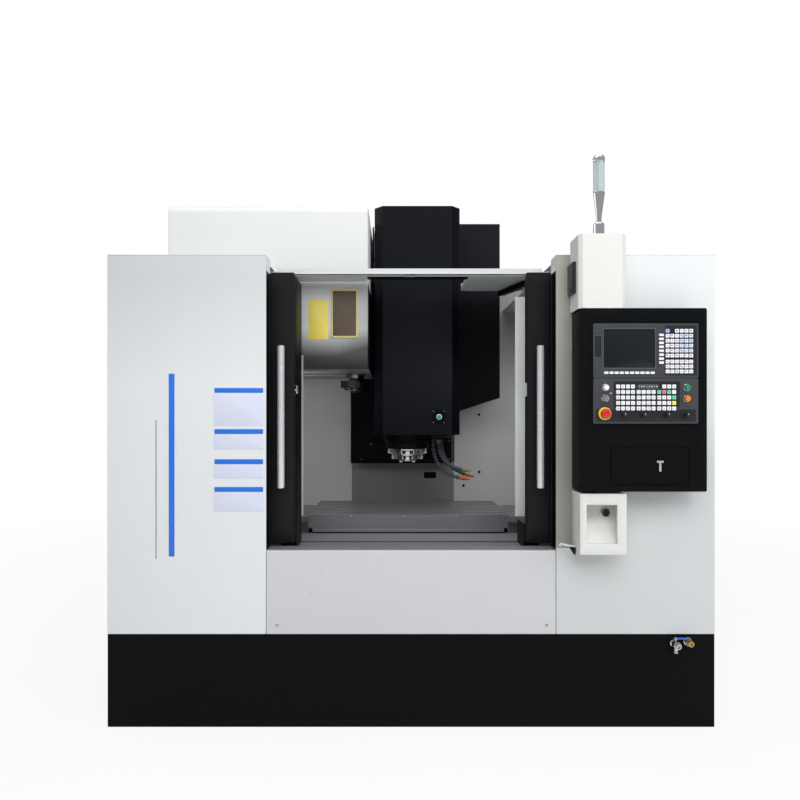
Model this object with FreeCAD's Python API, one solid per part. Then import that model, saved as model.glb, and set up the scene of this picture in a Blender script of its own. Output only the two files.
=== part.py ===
import FreeCAD, Part
import math
import os

from FreeCAD import Vector

# A three-axis vertical machining center with an arm-type tool changer.
# Origin: centre of the footprint, on the floor. +X is the operator's right, +Y runs into the
# machine, +Z is up. Millimetres.

# ---- driving dimensions -------------------------------------------------------------------
WIDTH = 2500.0
HALF = WIDTH / 2
FRONT = -1010.0              # face of the two side blocks and the sill
SHEET = 3.0
SKIRT_TOP = 382.0
ROOF = 1942.0                # top of the side blocks
PANEL_REAR = 640.0
SKIRT_REAR = 880.0
BAY = 596.0                  # half width between the side blocks
SILL_TOP = 725.0

DOOR_FACE = -910.0
DOOR_DEPTH = 40.0
DOOR_EDGE = 498.0            # leading edge of an open door
DOOR_WIDTH = 512.0
DOOR_FOOT = 735.0
DOOR_TOP = 1891.0
RAIL_TOP = 1908.0            # the doors hang from rollers that run on this rail
ROLLER = 8.0
HANDLE_X = 546.0
HANDLE_REACH = 40.0
HANDLE_FOOT = 974.0
HANDLE_TOP = 1574.0

SPINDLE_Y = -210.0
NOSE = 1036.0                # spindle face above the floor
TABLE_TOP = 784.0
TABLE_LONG = 1000.0
TABLE_DEEP = 500.0
TABLE_EDGE = 67.0
SLOT_PITCH = 90.0
SLOT_NECK = 18.0
SLOT_HEAD = 30.0

RAIL = 34.0                  # linear rail, width and height
WAY_TOP = 455.0              # machined top of the two Y ways
WAY_X = 290.0
SADDLE_TOP = 640.0
SADDLE_HALF = 760.0
SADDLE_DEEP = 400.0
CROSS_RAIL = 140.0           # X rails, either side of the spindle plane
COLUMN_TOP = 2130.0
Z_RAIL_X = 190.0
SCREW_R = 20.0
RUN_FIT = 0.05               # radial clearance of a running fit
CLEAR = 0.4                  # free clearance of a small part in its hole

CONSOLE_FACE = -1135.0
UNIT_FACE = -1141.0          # face of the display unit and of the machine panel


# ---- geometry helpers ---------------------------------------------------------------------
def block(x0, x1, y0, y1, z0, z1):
    return Part.makeBox(x1 - x0, y1 - y0, z1 - z0, Vector(x0, y0, z0))


def rod(radius, start, end):
    start = Vector(*start)
    axis = Vector(*end) - start
    return Part.makeCylinder(radius, axis.Length, start, axis)


def prism(points, push):
    """A closed outline of 3-D points pushed along a vector."""
    corners = [Vector(*p) for p in points]
    face = Part.Face(Part.makePolygon(corners + corners[:1]))
    return face.extrude(Vector(*push))


def prism_x(outline, x0, x1):
    return prism([(x0, y, z) for y, z in outline], (x1 - x0, 0, 0))


def prism_y(outline, y0, y1):
    return prism([(x, y0, z) for x, z in outline], (0, y1 - y0, 0))


def prism_z(outline, z0, z1):
    return prism([(x, y, z0) for x, y in outline], (0, 0, z1 - z0))


def fuse(*parts):
    return parts[0].multiFuse(list(parts[1:])).removeSplitter()


def mirrored(shape):
    return shape.mirror(Vector(0, 0, 0), Vector(1, 0, 0))


def both_sides(shape):
    return [shape, mirrored(shape)]


def fold(path, gauge):
    """The section of a folded sheet: a path and its copy one gauge to the left, mitred."""
    copy = []
    last = len(path) - 1
    for i, (a, b) in enumerate(path):
        normals = []
        for j in (i - 1, i):
            if 0 <= j < last:
                da = path[j + 1][0] - path[j][0]
                db = path[j + 1][1] - path[j][1]
                length = math.hypot(da, db)
                normals.append((-db / length, da / length))
        na = sum(n[0] for n in normals) / len(normals)
        nb = sum(n[1] for n in normals) / len(normals)
        scale = gauge / (na * na + nb * nb)
        copy.append((a + na * scale, b + nb * scale))
    return list(path) + copy[::-1]


def polygon(count, radius, cx, cy, turn=0.0):
    """The corners of a regular polygon."""
    step = 2 * math.pi / count
    return [
        (cx + radius * math.cos(turn + i * step), cy + radius * math.sin(turn + i * step))
        for i in range(count)
    ]


def flats(count, radius, start, end):
    """A small round piece with flats in place of its curve, along an axis."""
    start = Vector(*start)
    axis = Vector(*end) - start
    corners = [Vector(a, b, 0) for a, b in polygon(count, radius, 0, 0, math.pi / count)]
    face = Part.Face(Part.makePolygon(corners + corners[:1]))
    piece = face.extrude(Vector(0, 0, axis.Length))
    piece.Placement = FreeCAD.Placement(start, FreeCAD.Rotation(Vector(0, 0, 1), axis))
    return piece


def skin(rings):
    """A solid with flat faces stretched between rings of corners, its two ends closed."""
    loops = [rings[0], rings[-1]]
    for low, high in zip(rings, rings[1:]):
        for i in range(len(low)):
            loops.append([low[i - 1], low[i], high[i]])
            loops.append([low[i - 1], high[i], high[i - 1]])
    faces = [Part.Face(Part.makePolygon(loop + loop[:1])) for loop in loops]
    solid = Part.Solid(Part.Shell(faces)).removeSplitter()
    if solid.Volume < 0:
        solid.reverse()
    return solid


def lathe(profile, sides, place, way):
    """A turned piece with flats, from (radius, height) rings along an axis."""
    rings = [
        [Vector(a, b, height) for a, b in polygon(sides, radius, 0, 0, math.pi / sides)]
        for radius, height in profile
    ]
    solid = skin(rings)
    turn = FreeCAD.Rotation(Vector(0, 0, 1), Vector(*way))
    solid.Placement = FreeCAD.Placement(Vector(*place), turn)
    return solid


def tapered(low, z0, high, z1):
    """A solid between two rectangles (x0, x1, y0, y1) at two heights."""
    rings = []
    for (x0, x1, y0, y1), z in ((low, z0), (high, z1)):
        rings.append([Vector(x0, y0, z), Vector(x1, y0, z), Vector(x1, y1, z), Vector(x0, y1, z)])
    return skin(rings)


def save(name, *shapes):
    shape = shapes[0] if len(shapes) == 1 else Part.makeCompound(list(shapes))
    shape.exportStep("parts/" + name + ".step")
    return shape


# ---- linear guides and screws -------------------------------------------------------------
def rail_outline(centre, foot):
    """A linear rail's section: square, waisted on both sides for the balls."""
    half = RAIL / 2
    waist = half - 5
    return [
        (centre - half, foot),
        (centre + half, foot),
        (centre + half, foot + 8),
        (centre + waist, foot + 17),
        (centre + half, foot + 26),
        (centre + half, foot + RAIL),
        (centre - half, foot + RAIL),
        (centre - half, foot + 26),
        (centre - waist, foot + 17),
        (centre - half, foot + 8),
    ]


def carriage_outline(centre, foot):
    """A guide block's section: it straddles its rail and stands 48 above the rail's foot."""
    half = 50.0
    slot = RAIL / 2 + CLEAR
    return [
        (centre - half, foot + 7),
        (centre - slot, foot + 7),
        (centre - slot, foot + RAIL + CLEAR),
        (centre + slot, foot + RAIL + CLEAR),
        (centre + slot, foot + 7),
        (centre + half, foot + 7),
        (centre + half, foot + 48),
        (centre - half, foot + 48),
    ]


CARRIAGE = 110.0             # length of one guide block
CARRIAGE_TOP = 48.0


def ball_screw(start, end, journal):
    """A screw with turned-down journals; its thread is too fine to model."""
    a = Vector(*start)
    b = Vector(*end)
    way = (b - a).normalize()
    neck_a = a - way * journal
    neck_b = b + way * journal
    return fuse(
        rod(SCREW_R, a, b),
        flats(12, SCREW_R - 5, neck_a, a),
        flats(12, SCREW_R - 5, b, neck_b),
    )


# ---- base, column, saddle, table ----------------------------------------------------------
Y_SCREW_Z = 440.0


def base_casting():
    ways = [(430, 360), (350, 395), (350, WAY_TOP), (230, WAY_TOP), (230, 380)]
    flank = [(470, 60), (470, 160), (430, 260)]
    right = flank + ways
    left = [(-x, z) for x, z in right[::-1]]
    bed = prism_y(right + left, -880, 330)
    seat = block(-430, 430, 330, SKIRT_REAR, 60, 430)
    toes = [block(s * 430 - 40, s * 430 + 40, 330, SKIRT_REAR, 60, 160) for s in (-1, 1)]
    casting = fuse(bed, seat, *toes)
    trench = block(-80, 80, 325, 560, 368, 440)
    cores = []
    for y in (-760, -420, -80):
        for side in both_sides(block(400, 500, y, y + 220, 110, 230)):
            cores.append(side)
    casting = casting.cut(Part.makeCompound(cores + [trench]))
    rails = [prism_y(rail_outline(s * WAY_X, WAY_TOP), -690, 270) for s in (-1, 1)]
    bearings = []
    for y in (-650, 236):
        body = prism_y([(-70, 380), (70, 380), (52, 488), (-52, 488)], y, y + 46)
        bore = rod(SCREW_R - 5 + RUN_FIT, (0, y - 1, Y_SCREW_Z), (0, y + 47, Y_SCREW_Z))
        bearings.append(body.cut(bore))
    motor = block(-62, 62, 300, 500, Y_SCREW_Z - 60, Y_SCREW_Z + 62)
    motor_foot = block(-40, 40, 300, 420, 366, 382)
    feet = []
    for x in (-400, 400):
        for y in (-800, -240, 320, 800):
            feet.append(block(x - 45, x + 45, y - 45, y + 45, 0, 20))
            feet.append(prism_z(polygon(6, 26, x, y), 20, 60))
    return fuse(casting, *rails, *bearings, motor, motor_foot, *feet)


def column_casting():
    casting = tapered((-430, 430, 370, 870), 430, (-280, 280, 370, 740), COLUMN_TOP)
    arch = [(-310, 420), (310, 420), (310, 640), (250, 690), (-250, 690), (-310, 640)]
    casting = casting.cut(prism_y(arch, 360, 880))
    cores = []
    for z, half in ((800, 220), (1200, 190), (1600, 160)):
        cores.append(block(-half, half, 690, 880, z, z + 280))
    casting = casting.cut(Part.makeCompound(cores))
    pads = [block(s * Z_RAIL_X - 45, s * Z_RAIL_X + 45, 345, 375, 990, 2100) for s in (-1, 1)]
    rails = []
    for s in (-1, 1):
        outline = [(x, 345 - z) for x, z in rail_outline(s * Z_RAIL_X, 0)]
        rails.append(prism_z(outline, 1000, 2090))
    bearings = []
    for z in (1000, 2062):
        body = prism_z([(-60, 375), (60, 375), (48, 268), (-48, 268)], z, z + 46)
        bore = rod(SCREW_R - 5 + RUN_FIT, (0, 300, z - 1), (0, 300, z + 47))
        bearings.append(body.cut(bore))
    shelf = block(-70, 70, 236, 372, 2108, 2130)
    shelf = shelf.cut(rod(SCREW_R, (0, 300, 2100), (0, 300, 2140)))
    motor = block(-62, 62, 240, 362, 2130, 2300)
    changer_pad = block(-400, -250, 420, 600, 1640, 1840)
    return fuse(casting, *pads, *rails, *bearings, shelf, motor, changer_pad)


X_SCREW_Z = 640.0


def saddle_casting():
    y0 = SPINDLE_Y - SADDLE_DEEP / 2
    y1 = SPINDLE_Y + SADDLE_DEEP / 2
    under = WAY_TOP + CARRIAGE_TOP
    outline = [(-380, under), (380, under), (SADDLE_HALF, 565), (SADDLE_HALF, SADDLE_TOP)]
    outline += [(-SADDLE_HALF, SADDLE_TOP), (-SADDLE_HALF, 565)]
    body = prism_y(outline, y0, y1)
    channel = block(-800, 800, SPINDLE_Y - 62, SPINDLE_Y + 62, 590, 660)
    body = body.cut(channel)
    rails = []
    for s in (-1, 1):
        section = rail_outline(SPINDLE_Y + s * CROSS_RAIL, SADDLE_TOP)
        rails.append(prism_x(section, -720, 720))
    carriages = []
    for s in (-1, 1):
        for y in (SPINDLE_Y - 195, SPINDLE_Y + 85):
            section = carriage_outline(s * WAY_X, WAY_TOP)
            carriages.append(prism_y(section, y, y + CARRIAGE))
    nut = block(-60, 60, SPINDLE_Y - 60, SPINDLE_Y + 60, 396, under)
    nut = nut.cut(rod(SCREW_R + RUN_FIT, (0, y0, Y_SCREW_Z), (0, y1, Y_SCREW_Z)))
    bearings = []
    for x in (-746, 700):
        section = [(SPINDLE_Y - 62, 590), (SPINDLE_Y + 62, 590)]
        section += [(SPINDLE_Y + 50, 684), (SPINDLE_Y - 50, 684)]
        body_x = prism_x(section, x, x + 46)
        centre = SPINDLE_Y
        bore = rod(SCREW_R - 5 + RUN_FIT, (x - 1, centre, X_SCREW_Z), (x + 47, centre, X_SCREW_Z))
        bearings.append(body_x.cut(bore))
    motor = block(-960, -759, SPINDLE_Y - 60, SPINDLE_Y + 60, 578, 702)
    arms = []
    for side in (-1, 1):
        y_out = SPINDLE_Y + side * (HOOD_HALF - 3 * HOOD_STEP - HOOD_GAUGE)
        y_in = y_out - side * 18
        low = min(y_out, y_in)
        arm = block(745, 1200, low, low + 18, 584, 632)
        arms += both_sides(arm)
    ledge = block(-300, 300, APRON_REAR, y0, 520, 560)
    front = block(-APRON_HALF, APRON_HALF, APRON_REAR, APRON_REAR + 4, 520, APRON_TOP)
    return fuse(body, *rails, *carriages, nut, *bearings, motor, *arms, ledge, front)


def table():
    y0 = SPINDLE_Y - TABLE_DEEP / 2
    y1 = SPINDLE_Y + TABLE_DEEP / 2
    under = TABLE_TOP - TABLE_EDGE
    outline = [(y0, under), (y1, under), (y1, TABLE_TOP)]
    for i in (2, 1, 0, -1, -2):
        slot = SPINDLE_Y + i * SLOT_PITCH
        neck = SLOT_NECK / 2
        wide = SLOT_HEAD / 2
        outline += [
            (slot + neck, TABLE_TOP),
            (slot + neck, TABLE_TOP - 16),
            (slot + wide, TABLE_TOP - 16),
            (slot + wide, TABLE_TOP - 30),
            (slot - wide, TABLE_TOP - 30),
            (slot - wide, TABLE_TOP - 16),
            (slot - neck, TABLE_TOP - 16),
            (slot - neck, TABLE_TOP),
        ]
    outline.append((y0, TABLE_TOP))
    plate = prism_x(outline, -TABLE_LONG / 2, TABLE_LONG / 2)
    keel = block(-262, 262, SPINDLE_Y - 195, SPINDLE_Y + 195, SADDLE_TOP + CARRIAGE_TOP, under)
    carriages = []
    for s in (-1, 1):
        for x in (-260, 150):
            section = carriage_outline(SPINDLE_Y + s * CROSS_RAIL, SADDLE_TOP)
            carriages.append(prism_x(section, x, x + CARRIAGE))
    nut = block(-60, 60, SPINDLE_Y - 48, SPINDLE_Y + 48, 598, SADDLE_TOP + CARRIAGE_TOP)
    bore = rod(SCREW_R + RUN_FIT, (-70, SPINDLE_Y, X_SCREW_Z), (70, SPINDLE_Y, X_SCREW_Z))
    return fuse(plate, keel, *carriages, nut.cut(bore))


# ---- telescopic way covers ----------------------------------------------------------------
HOOD_TOP = 765.0             # outermost X hood, on the table's ends
HOOD_HALF = 228.0
HOOD_STEP = 6.0
HOOD_GAUGE = 2.5
HOOD_LONG = 285.0
HOOD_START = 500.0
HOOD_END = 1200.0
APRON_REAR = -445.0          # rear edge of the front cover's first stage
APRON_FRONT = -900.0
APRON_LONG = 200.0
APRON_HALF = 560.0
APRON_TOP = 690.0


def x_hood(stage):
    """One stage of the X way cover, 0 on the table's end to 3 on the saddle's arms."""
    half = HOOD_HALF - stage * HOOD_STEP
    top = HOOD_TOP - stage * HOOD_STEP
    y0 = SPINDLE_Y - half
    y1 = SPINDLE_Y + half
    bend = 24.0
    path = [(y1, 600), (y1, top - bend), (y1 - bend, top), (y0 + bend, top)]
    path += [(y0, top - bend), (y0, 600)]
    span = HOOD_END - HOOD_LONG - HOOD_START
    start = HOOD_START + span * stage / 3
    return both_sides(prism_x(fold(path, HOOD_GAUGE), start, start + HOOD_LONG))


def front_hood(stage, foot=560.0):
    """One stage of the front Y way cover, 0 on the saddle to 3 on the base: a lid, two sides."""
    half = APRON_HALF - stage * HOOD_STEP
    top = APRON_TOP - stage * HOOD_STEP
    fixed_rear = APRON_FRONT + APRON_LONG
    rear = APRON_REAR + (fixed_rear - APRON_REAR) * stage / 3
    front = rear - APRON_LONG
    lid = block(-half, half, front, rear, top - HOOD_GAUGE, top)
    side = block(half - HOOD_GAUGE, half, front + 1, rear - 1, foot, top - HOOD_GAUGE)
    return [lid, *both_sides(side)]


def rear_plate(z, y0, y1, half):
    """A flat rear cover plate with turned-down sides."""
    path = [(half, z - 14), (half, z), (-half, z), (-half, z - 14)]
    return prism_y(fold(path, HOOD_GAUGE), y0, y1)


# ---- head and spindle ---------------------------------------------------------------------
HEAD_FOOT = 1190.0
RING_TOP = 1104.0
RING_FOOT = 1046.0


def head_casting():
    outline = [(205, 1140), (-60, HEAD_FOOT), (-335, HEAD_FOOT), (-335, 1560)]
    outline += [(-85, 1560), (205, 1680)]
    body = prism_x(outline, -140, 140)
    body = body.cut(flats(16, 78, (0, SPINDLE_Y, 1180), (0, SPINDLE_Y, 1500)))
    slide = block(-240, 240, 203, 262, 1130, 1670)
    carriages = []
    for s in (-1, 1):
        for z in (1150, 1540):
            section = [(x, 345 - f) for x, f in carriage_outline(s * Z_RAIL_X, 0)]
            block_y = prism_z(section, z, z + CARRIAGE)
            carriages.append(block_y)
    spacer = [block(s * Z_RAIL_X - 50, s * Z_RAIL_X + 50, 258, 298, 1150, 1650) for s in (-1, 1)]
    nut = block(-55, 55, 258, 340, 1300, 1400)
    nut = nut.cut(rod(SCREW_R + RUN_FIT, (0, 300, 1290), (0, 300, 1410)))
    motor_outline = polygon(8, 132, 0, SPINDLE_Y, math.pi / 8)
    motor = prism_z(motor_outline, 1560, 1960)
    cylinder = flats(12, 86, (0, SPINDLE_Y, 1960), (0, SPINDLE_Y, 2080))
    ribs = [block(s * 139 - 8, s * 139 + 8, -85, 205, 1200, 1500) for s in (-1, 1)]
    return fuse(body, slide, *carriages, *spacer, nut, motor, cylinder, *ribs, spindle_housing())


COVER_LEFT = -171.0
COVER_RIGHT = 267.0
COVER_FRONT = -410.0
COVER_FOOT = 1180.0
COVER_TOP = 2344.0
COVER_BEVEL = 42.0


def cover_outline(inset):
    bevel = COVER_BEVEL - inset * 0.4
    left = COVER_LEFT + inset
    right = COVER_RIGHT - inset
    front = COVER_FRONT + inset
    return [
        (left, 180),
        (left, front + bevel),
        (left + bevel, front),
        (right - bevel, front),
        (right, front + bevel),
        (right, 180),
    ]


def head_cover():
    outer = prism_z(cover_outline(0), COVER_FOOT, COVER_TOP)
    hollow = cover_outline(SHEET)
    hollow[0] = (hollow[0][0], 190)
    hollow[-1] = (hollow[-1][0], 190)
    cover = outer.cut(prism_z(hollow, COVER_FOOT + SHEET, COVER_TOP - SHEET))
    cover = cover.cut(flats(24, 137, (0, SPINDLE_Y, 1170), (0, SPINDLE_Y, 1186)))
    cover = cover.cut(block(-150, 150, -100, 190, 1170, 1186))
    plate = block(122, 191, COVER_FRONT - 2, COVER_FRONT, 1237, 1308)
    cover = fuse(cover, plate)
    return cover.cut(flats(12, STEM + CLEAR, (158, -420, 1272), (158, -400, 1272)))


def round_button(x, z, face, cap, stem, proud, reach):
    """A push button facing -Y: a domed cap on a stem."""
    profile = [(cap - 2, 0), (cap, 1.5), (cap, proud - 1)]
    head = lathe(profile, 16, (x, face - proud, z), (0, 1, 0))
    return fuse(head, flats(8, stem, (x, face - 2, z), (x, face + reach, z)))


SHAFT_R = 44.44


def spindle_housing():
    profile = [(116, RING_TOP), (116, 1132), (128, 1146), (128, HEAD_FOOT + 5)]
    housing = lathe(profile, 32, (0, SPINDLE_Y, 0), (0, 0, 1))
    manifold = block(108, 196, SPINDLE_Y - 34, SPINDLE_Y + 34, 1150, COVER_FOOT)
    bore = rod(SHAFT_R + RUN_FIT, (0, SPINDLE_Y, 1100), (0, SPINDLE_Y, HEAD_FOOT + 6))
    return fuse(housing, manifold).cut(bore)


def spindle_ring():
    """The silver two-step ring under the spindle: notched all round, like a castle nut."""
    profile = [(83, 0), (83, 30), (104, 30), (104, RING_TOP - RING_FOOT)]
    ring = lathe(profile, 36, (0, SPINDLE_Y, RING_FOOT), (0, 0, 1))
    ring = ring.cut(flats(24, 47.5, (0, SPINDLE_Y, RING_FOOT - 1), (0, SPINDLE_Y, RING_TOP + 1)))
    tools = []
    for i in range(12):
        notch = block(90, 110, -9, 9, 1070, 1096)
        notch = notch.fuse(block(72, 90, -7, 7, 1040, 1068))
        notch.rotate(Vector(0, 0, 0), Vector(0, 0, 1), 30.0 * i + 15)
        notch.translate(Vector(0, SPINDLE_Y, 0))
        tools.append(notch)
    return ring.cut(Part.makeCompound(tools))


TAPER_MOUTH = 22.225         # 7:24 taper, size 40
TAPER_DEEP = 68.0


def spindle_shaft():
    small = TAPER_MOUTH - TAPER_DEEP * 7 / 48
    shaft = rod(SHAFT_R, (0, SPINDLE_Y, NOSE), (0, SPINDLE_Y, 1260))
    taper = lathe([(TAPER_MOUTH, 0), (small, TAPER_DEEP)], 24, (0, SPINDLE_Y, NOSE), (0, 0, 1))
    shaft = shaft.cut(taper)
    upper = flats(16, 38, (0, SPINDLE_Y, 1260), (0, SPINDLE_Y, 1480))
    key = block(26, 42, SPINDLE_Y - 8, SPINDLE_Y + 8, NOSE - 8, NOSE + 2)
    return fuse(shaft, upper, *both_sides(key))


HOSE_R = 9.5
HOSE_WAIST = 7.5
HOSE_LINKS = 10
HOSE_ROUTES = [
    [(166, -232, 1149), (166, -236, 1040), (214, -276, 994), (338, -290, 988)],
    [(138, -224, 1149), (138, -228, 1010), (192, -264, 950), (330, -280, 942)],
    [(182, -196, 1149), (182, -200, 1040), (240, -232, 974), (358, -250, 952)],
]


def along(route, t):
    """A point at 0 to 1 along a smooth four-point curve."""
    a, b, c, d = [Vector(*p) for p in route]
    u = 1 - t
    return a * u**3 + b * (3 * u * u * t) + c * (3 * u * t * t) + d * t**3


def coolant_hose(route):
    """A ball-and-socket coolant pipe: links that swell and narrow along a curve."""
    rings = []
    side = Vector(0, 1, 0)
    for i in range(2 * HOSE_LINKS + 1):
        t = i / (2 * HOSE_LINKS)
        centre = along(route, t)
        way = (along(route, min(t + 0.01, 1)) - along(route, max(t - 0.01, 0))).normalize()
        up = way.cross(side).normalize()
        across = up.cross(way).normalize()
        radius = HOSE_R if i % 2 else HOSE_WAIST
        if i == 2 * HOSE_LINKS:
            radius = 4.5
        rings.append([centre + across * a + up * b for a, b in polygon(6, radius, 0, 0)])
    return skin(rings)


def head_way_plate():
    plate = block(-338, 282, 252, 255, 985, 1900)
    return plate.cut(block(-240, 240, 240, 270, 1130, 1910))


# ---- tool changer -------------------------------------------------------------------------
DISC_Z = 1880.0
POT_CIRCLE = 330.0
POTS = 24
DISC_R = 372.0               # across the corners of the disc
ARM_X = -285.0
ARM_REACH = 285.0
ARM_FOOT = 1417.0
ARM_TOP = 1450.0
ARM_SHAFT = 30.0             # across the corners of its eight flats
SLEEVE_R = 50.0
SLEEVE_FOOT = 1478.0
SLEEVE_TOP = 1690.0
AXLE_R = 25.0
POT_HINGE = (-598.5, 1578.5)
COVER_BACK = 190.0


def magazine_cover():
    left, right, front, top = -1133.0, -193.0, -646.0, 2267.0

    def section(inset, back):
        f = front + inset
        t = top - inset
        corner = 30 - inset
        low = 1500 + inset
        radius = 140 - inset
        spots = [
            Vector(0, back, low),
            Vector(0, f + radius, low),
            Vector(0, f, low + radius),
            Vector(0, f, t - corner),
            Vector(0, f + corner, t),
            Vector(0, back, t),
        ]
        bow = radius * (1 - math.cos(math.pi / 4))
        nip = corner * (1 - math.cos(math.pi / 4))
        edges = [
            Part.makeLine(spots[0], spots[1]),
            Part.Arc(spots[1], Vector(0, f + bow, low + bow), spots[2]).toShape(),
            Part.makeLine(spots[2], spots[3]),
            Part.Arc(spots[3], Vector(0, f + nip, t - nip), spots[4]).toShape(),
            Part.makeLine(spots[4], spots[5]),
            Part.makeLine(spots[5], spots[0]),
        ]
        return Part.Face(Part.Wire(edges))

    shell = section(0, COVER_BACK).extrude(Vector(right - left, 0, 0))
    shell.translate(Vector(left, 0, 0))
    hollow = section(SHEET, COVER_BACK + 20).extrude(Vector(right - left - 2 * SHEET, 0, 0))
    hollow.translate(Vector(left + SHEET, 0, 0))
    shell = shell.cut(hollow)
    window = block(-355, -252, -660, -630, 1656, 1862)
    change_gap = block(-750, -225, -290, -130, 1490, 1510)
    return shell.cut(Part.makeCompound([window, change_gap]))


def magazine_window():
    return block(-367, -240, -650, -646, 1644, 1874)


def gearbox():
    housing = block(-430, -200, -360, -80, 1520, 1930)
    upright = [e for e in housing.Edges if abs(e.tangentAt(0).z) > 0.9]
    housing = housing.makeChamfer(20, upright)
    boss = flats(16, 48, (-560, SPINDLE_Y, DISC_Z), (-425, SPINDLE_Y, DISC_Z))
    bracket = block(-440, -400, -300, 600, 1640, 1840)
    shape = fuse(housing, boss, bracket)
    well = rod(SLEEVE_R + RUN_FIT, (ARM_X, SPINDLE_Y, 1510), (ARM_X, SPINDLE_Y, SLEEVE_TOP + 10))
    axle = rod(AXLE_R + RUN_FIT, (-570, SPINDLE_Y, DISC_Z), (-432, SPINDLE_Y, DISC_Z))
    return shape.cut(Part.makeCompound([well, axle]))


def arm_sleeve():
    """The driven sleeve: the arm's eight-sided shaft slides in it and turns with it."""
    sleeve = rod(SLEEVE_R, (ARM_X, SPINDLE_Y, SLEEVE_FOOT), (ARM_X, SPINDLE_Y, SLEEVE_TOP))
    low = (ARM_X, SPINDLE_Y, SLEEVE_FOOT - 1)
    high = (ARM_X, SPINDLE_Y, SLEEVE_TOP + 1)
    return sleeve.cut(flats(8, ARM_SHAFT + RUN_FIT, low, high))


def tool_arm():
    """The double-ended gripper arm and the shaft that carries it, parked along Y."""
    hub = flats(24, 54, (ARM_X, SPINDLE_Y, ARM_FOOT), (ARM_X, SPINDLE_Y, ARM_TOP))
    wing = [(ARM_X - 34, SPINDLE_Y), (ARM_X + 34, SPINDLE_Y)]
    wing += [(ARM_X + 24, SPINDLE_Y - ARM_REACH + 30), (ARM_X - 24, SPINDLE_Y - ARM_REACH + 30)]
    claw_y = SPINDLE_Y - ARM_REACH
    claw = flats(24, 50, (ARM_X, claw_y, ARM_FOOT), (ARM_X, claw_y, ARM_TOP))
    half = fuse(prism_z(wing, ARM_FOOT, ARM_TOP), claw)
    throat = flats(16, 32, (ARM_X, claw_y, ARM_FOOT - 1), (ARM_X, claw_y, ARM_TOP + 1))
    mouth = block(ARM_X, ARM_X + 60, claw_y - 26, claw_y + 26, ARM_FOOT - 1, ARM_TOP + 1)
    half = half.cut(throat.fuse(mouth))
    other = half.copy()
    other.rotate(Vector(ARM_X, SPINDLE_Y, 0), Vector(0, 0, 1), 180)
    shaft = flats(8, ARM_SHAFT, (ARM_X, SPINDLE_Y, ARM_TOP - 5), (ARM_X, SPINDLE_Y, SLEEVE_TOP - 5))
    return fuse(hub, half, other, shaft)


def tool_pot(axis_z, root):
    """One tool pot with six flats, its mouth to -X."""
    outline = polygon(6, 36, SPINDLE_Y, axis_z)
    return prism_x(outline, -735, root)


def magazine_disc():
    plate = flats(24, DISC_R, (-640, SPINDLE_Y, DISC_Z), (-625, SPINDLE_Y, DISC_Z))
    hub = flats(16, 70, (-640, SPINDLE_Y, DISC_Z), (-575, SPINDLE_Y, DISC_Z))
    axle = rod(AXLE_R, (-640, SPINDLE_Y, DISC_Z), (-440, SPINDLE_Y, DISC_Z))
    pots = []
    for i in range(1, POTS):
        pot = tool_pot(DISC_Z - POT_CIRCLE, -632)
        pot.rotate(Vector(0, SPINDLE_Y, DISC_Z), Vector(1, 0, 0), 360.0 * i / POTS)
        pots.append(pot)
    notch = block(-650, -620, SPINDLE_Y - 38, SPINDLE_Y + 38, DISC_Z - DISC_R - 1, 1597)
    disc = fuse(plate, hub, axle, *pots).cut(notch)
    hx, hz = POT_HINGE
    outline = [(-625, hz + 4), (hx - 24, hz + 4), (hx - 22, hz - 9), (hx + 9, hz - 9)]
    outline += [(hx + 9, 1625), (-625, 1625)]
    hole = flats(12, 5 + CLEAR, (hx, -300, hz), (hx, -100, hz))
    cheeks = [prism_y(outline, SPINDLE_Y + y, SPINDLE_Y + y + 8).cut(hole) for y in (-21, 13)]
    return fuse(disc, *cheeks)


def change_pot():
    hx, hz = POT_HINGE
    pot = tool_pot(DISC_Z - POT_CIRCLE, -625)
    mouth = (-735, SPINDLE_Y, DISC_Z - POT_CIRCLE)
    socket = lathe([(TAPER_MOUTH, 0), (TAPER_MOUTH - 9, 62)], 12, mouth, (1, 0, 0))
    pot = pot.cut(socket)
    ear = block(-630, hx + 9, SPINDLE_Y - 12, SPINDLE_Y + 12, hz - 14, hz + 9)
    pin = flats(12, 5, (hx, SPINDLE_Y - 24, hz), (hx, SPINDLE_Y + 24, hz))
    return fuse(pot, ear, pin)


# ---- enclosure ----------------------------------------------------------------------------
def base_skirt():
    shell = block(-HALF, HALF, FRONT, SKIRT_REAR, 0, SKIRT_TOP)
    inside = block(-HALF + 4, HALF - 4, FRONT + 4, SKIRT_REAR + 9, -1, SKIRT_TOP - 4)
    top = block(-HALF + 50, HALF - 50, FRONT + 60, SKIRT_REAR + 9, 300, SKIRT_TOP + 9)
    return fuse(shell.cut(Part.makeCompound([inside, top])), *plinth_fittings())


def side_panel(roof_rear):
    """The right side block: one folded sheet with a roof over its front part."""
    path = [(1190, PANEL_REAR), (HALF, PANEL_REAR), (HALF, FRONT), (BAY, FRONT), (BAY, -925)]
    wall = prism_z(fold(path[::-1], SHEET), SKIRT_TOP, ROOF)
    roof = block(BAY + 20, HALF - 1, FRONT + 1, roof_rear, ROOF - SHEET, ROOF)
    lip = block(BAY, BAY + 30, FRONT + 1, -925, ROOF - SHEET, ROOF)
    return fuse(wall, roof, lip)


def sill_panel():
    path = [(FRONT, SKIRT_TOP), (FRONT, SILL_TOP), (-925, SILL_TOP), (-925, 690), (-905, 690)]
    half = BAY - 2
    return prism_x(fold(path[::-1], SHEET), -half, half)


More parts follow.
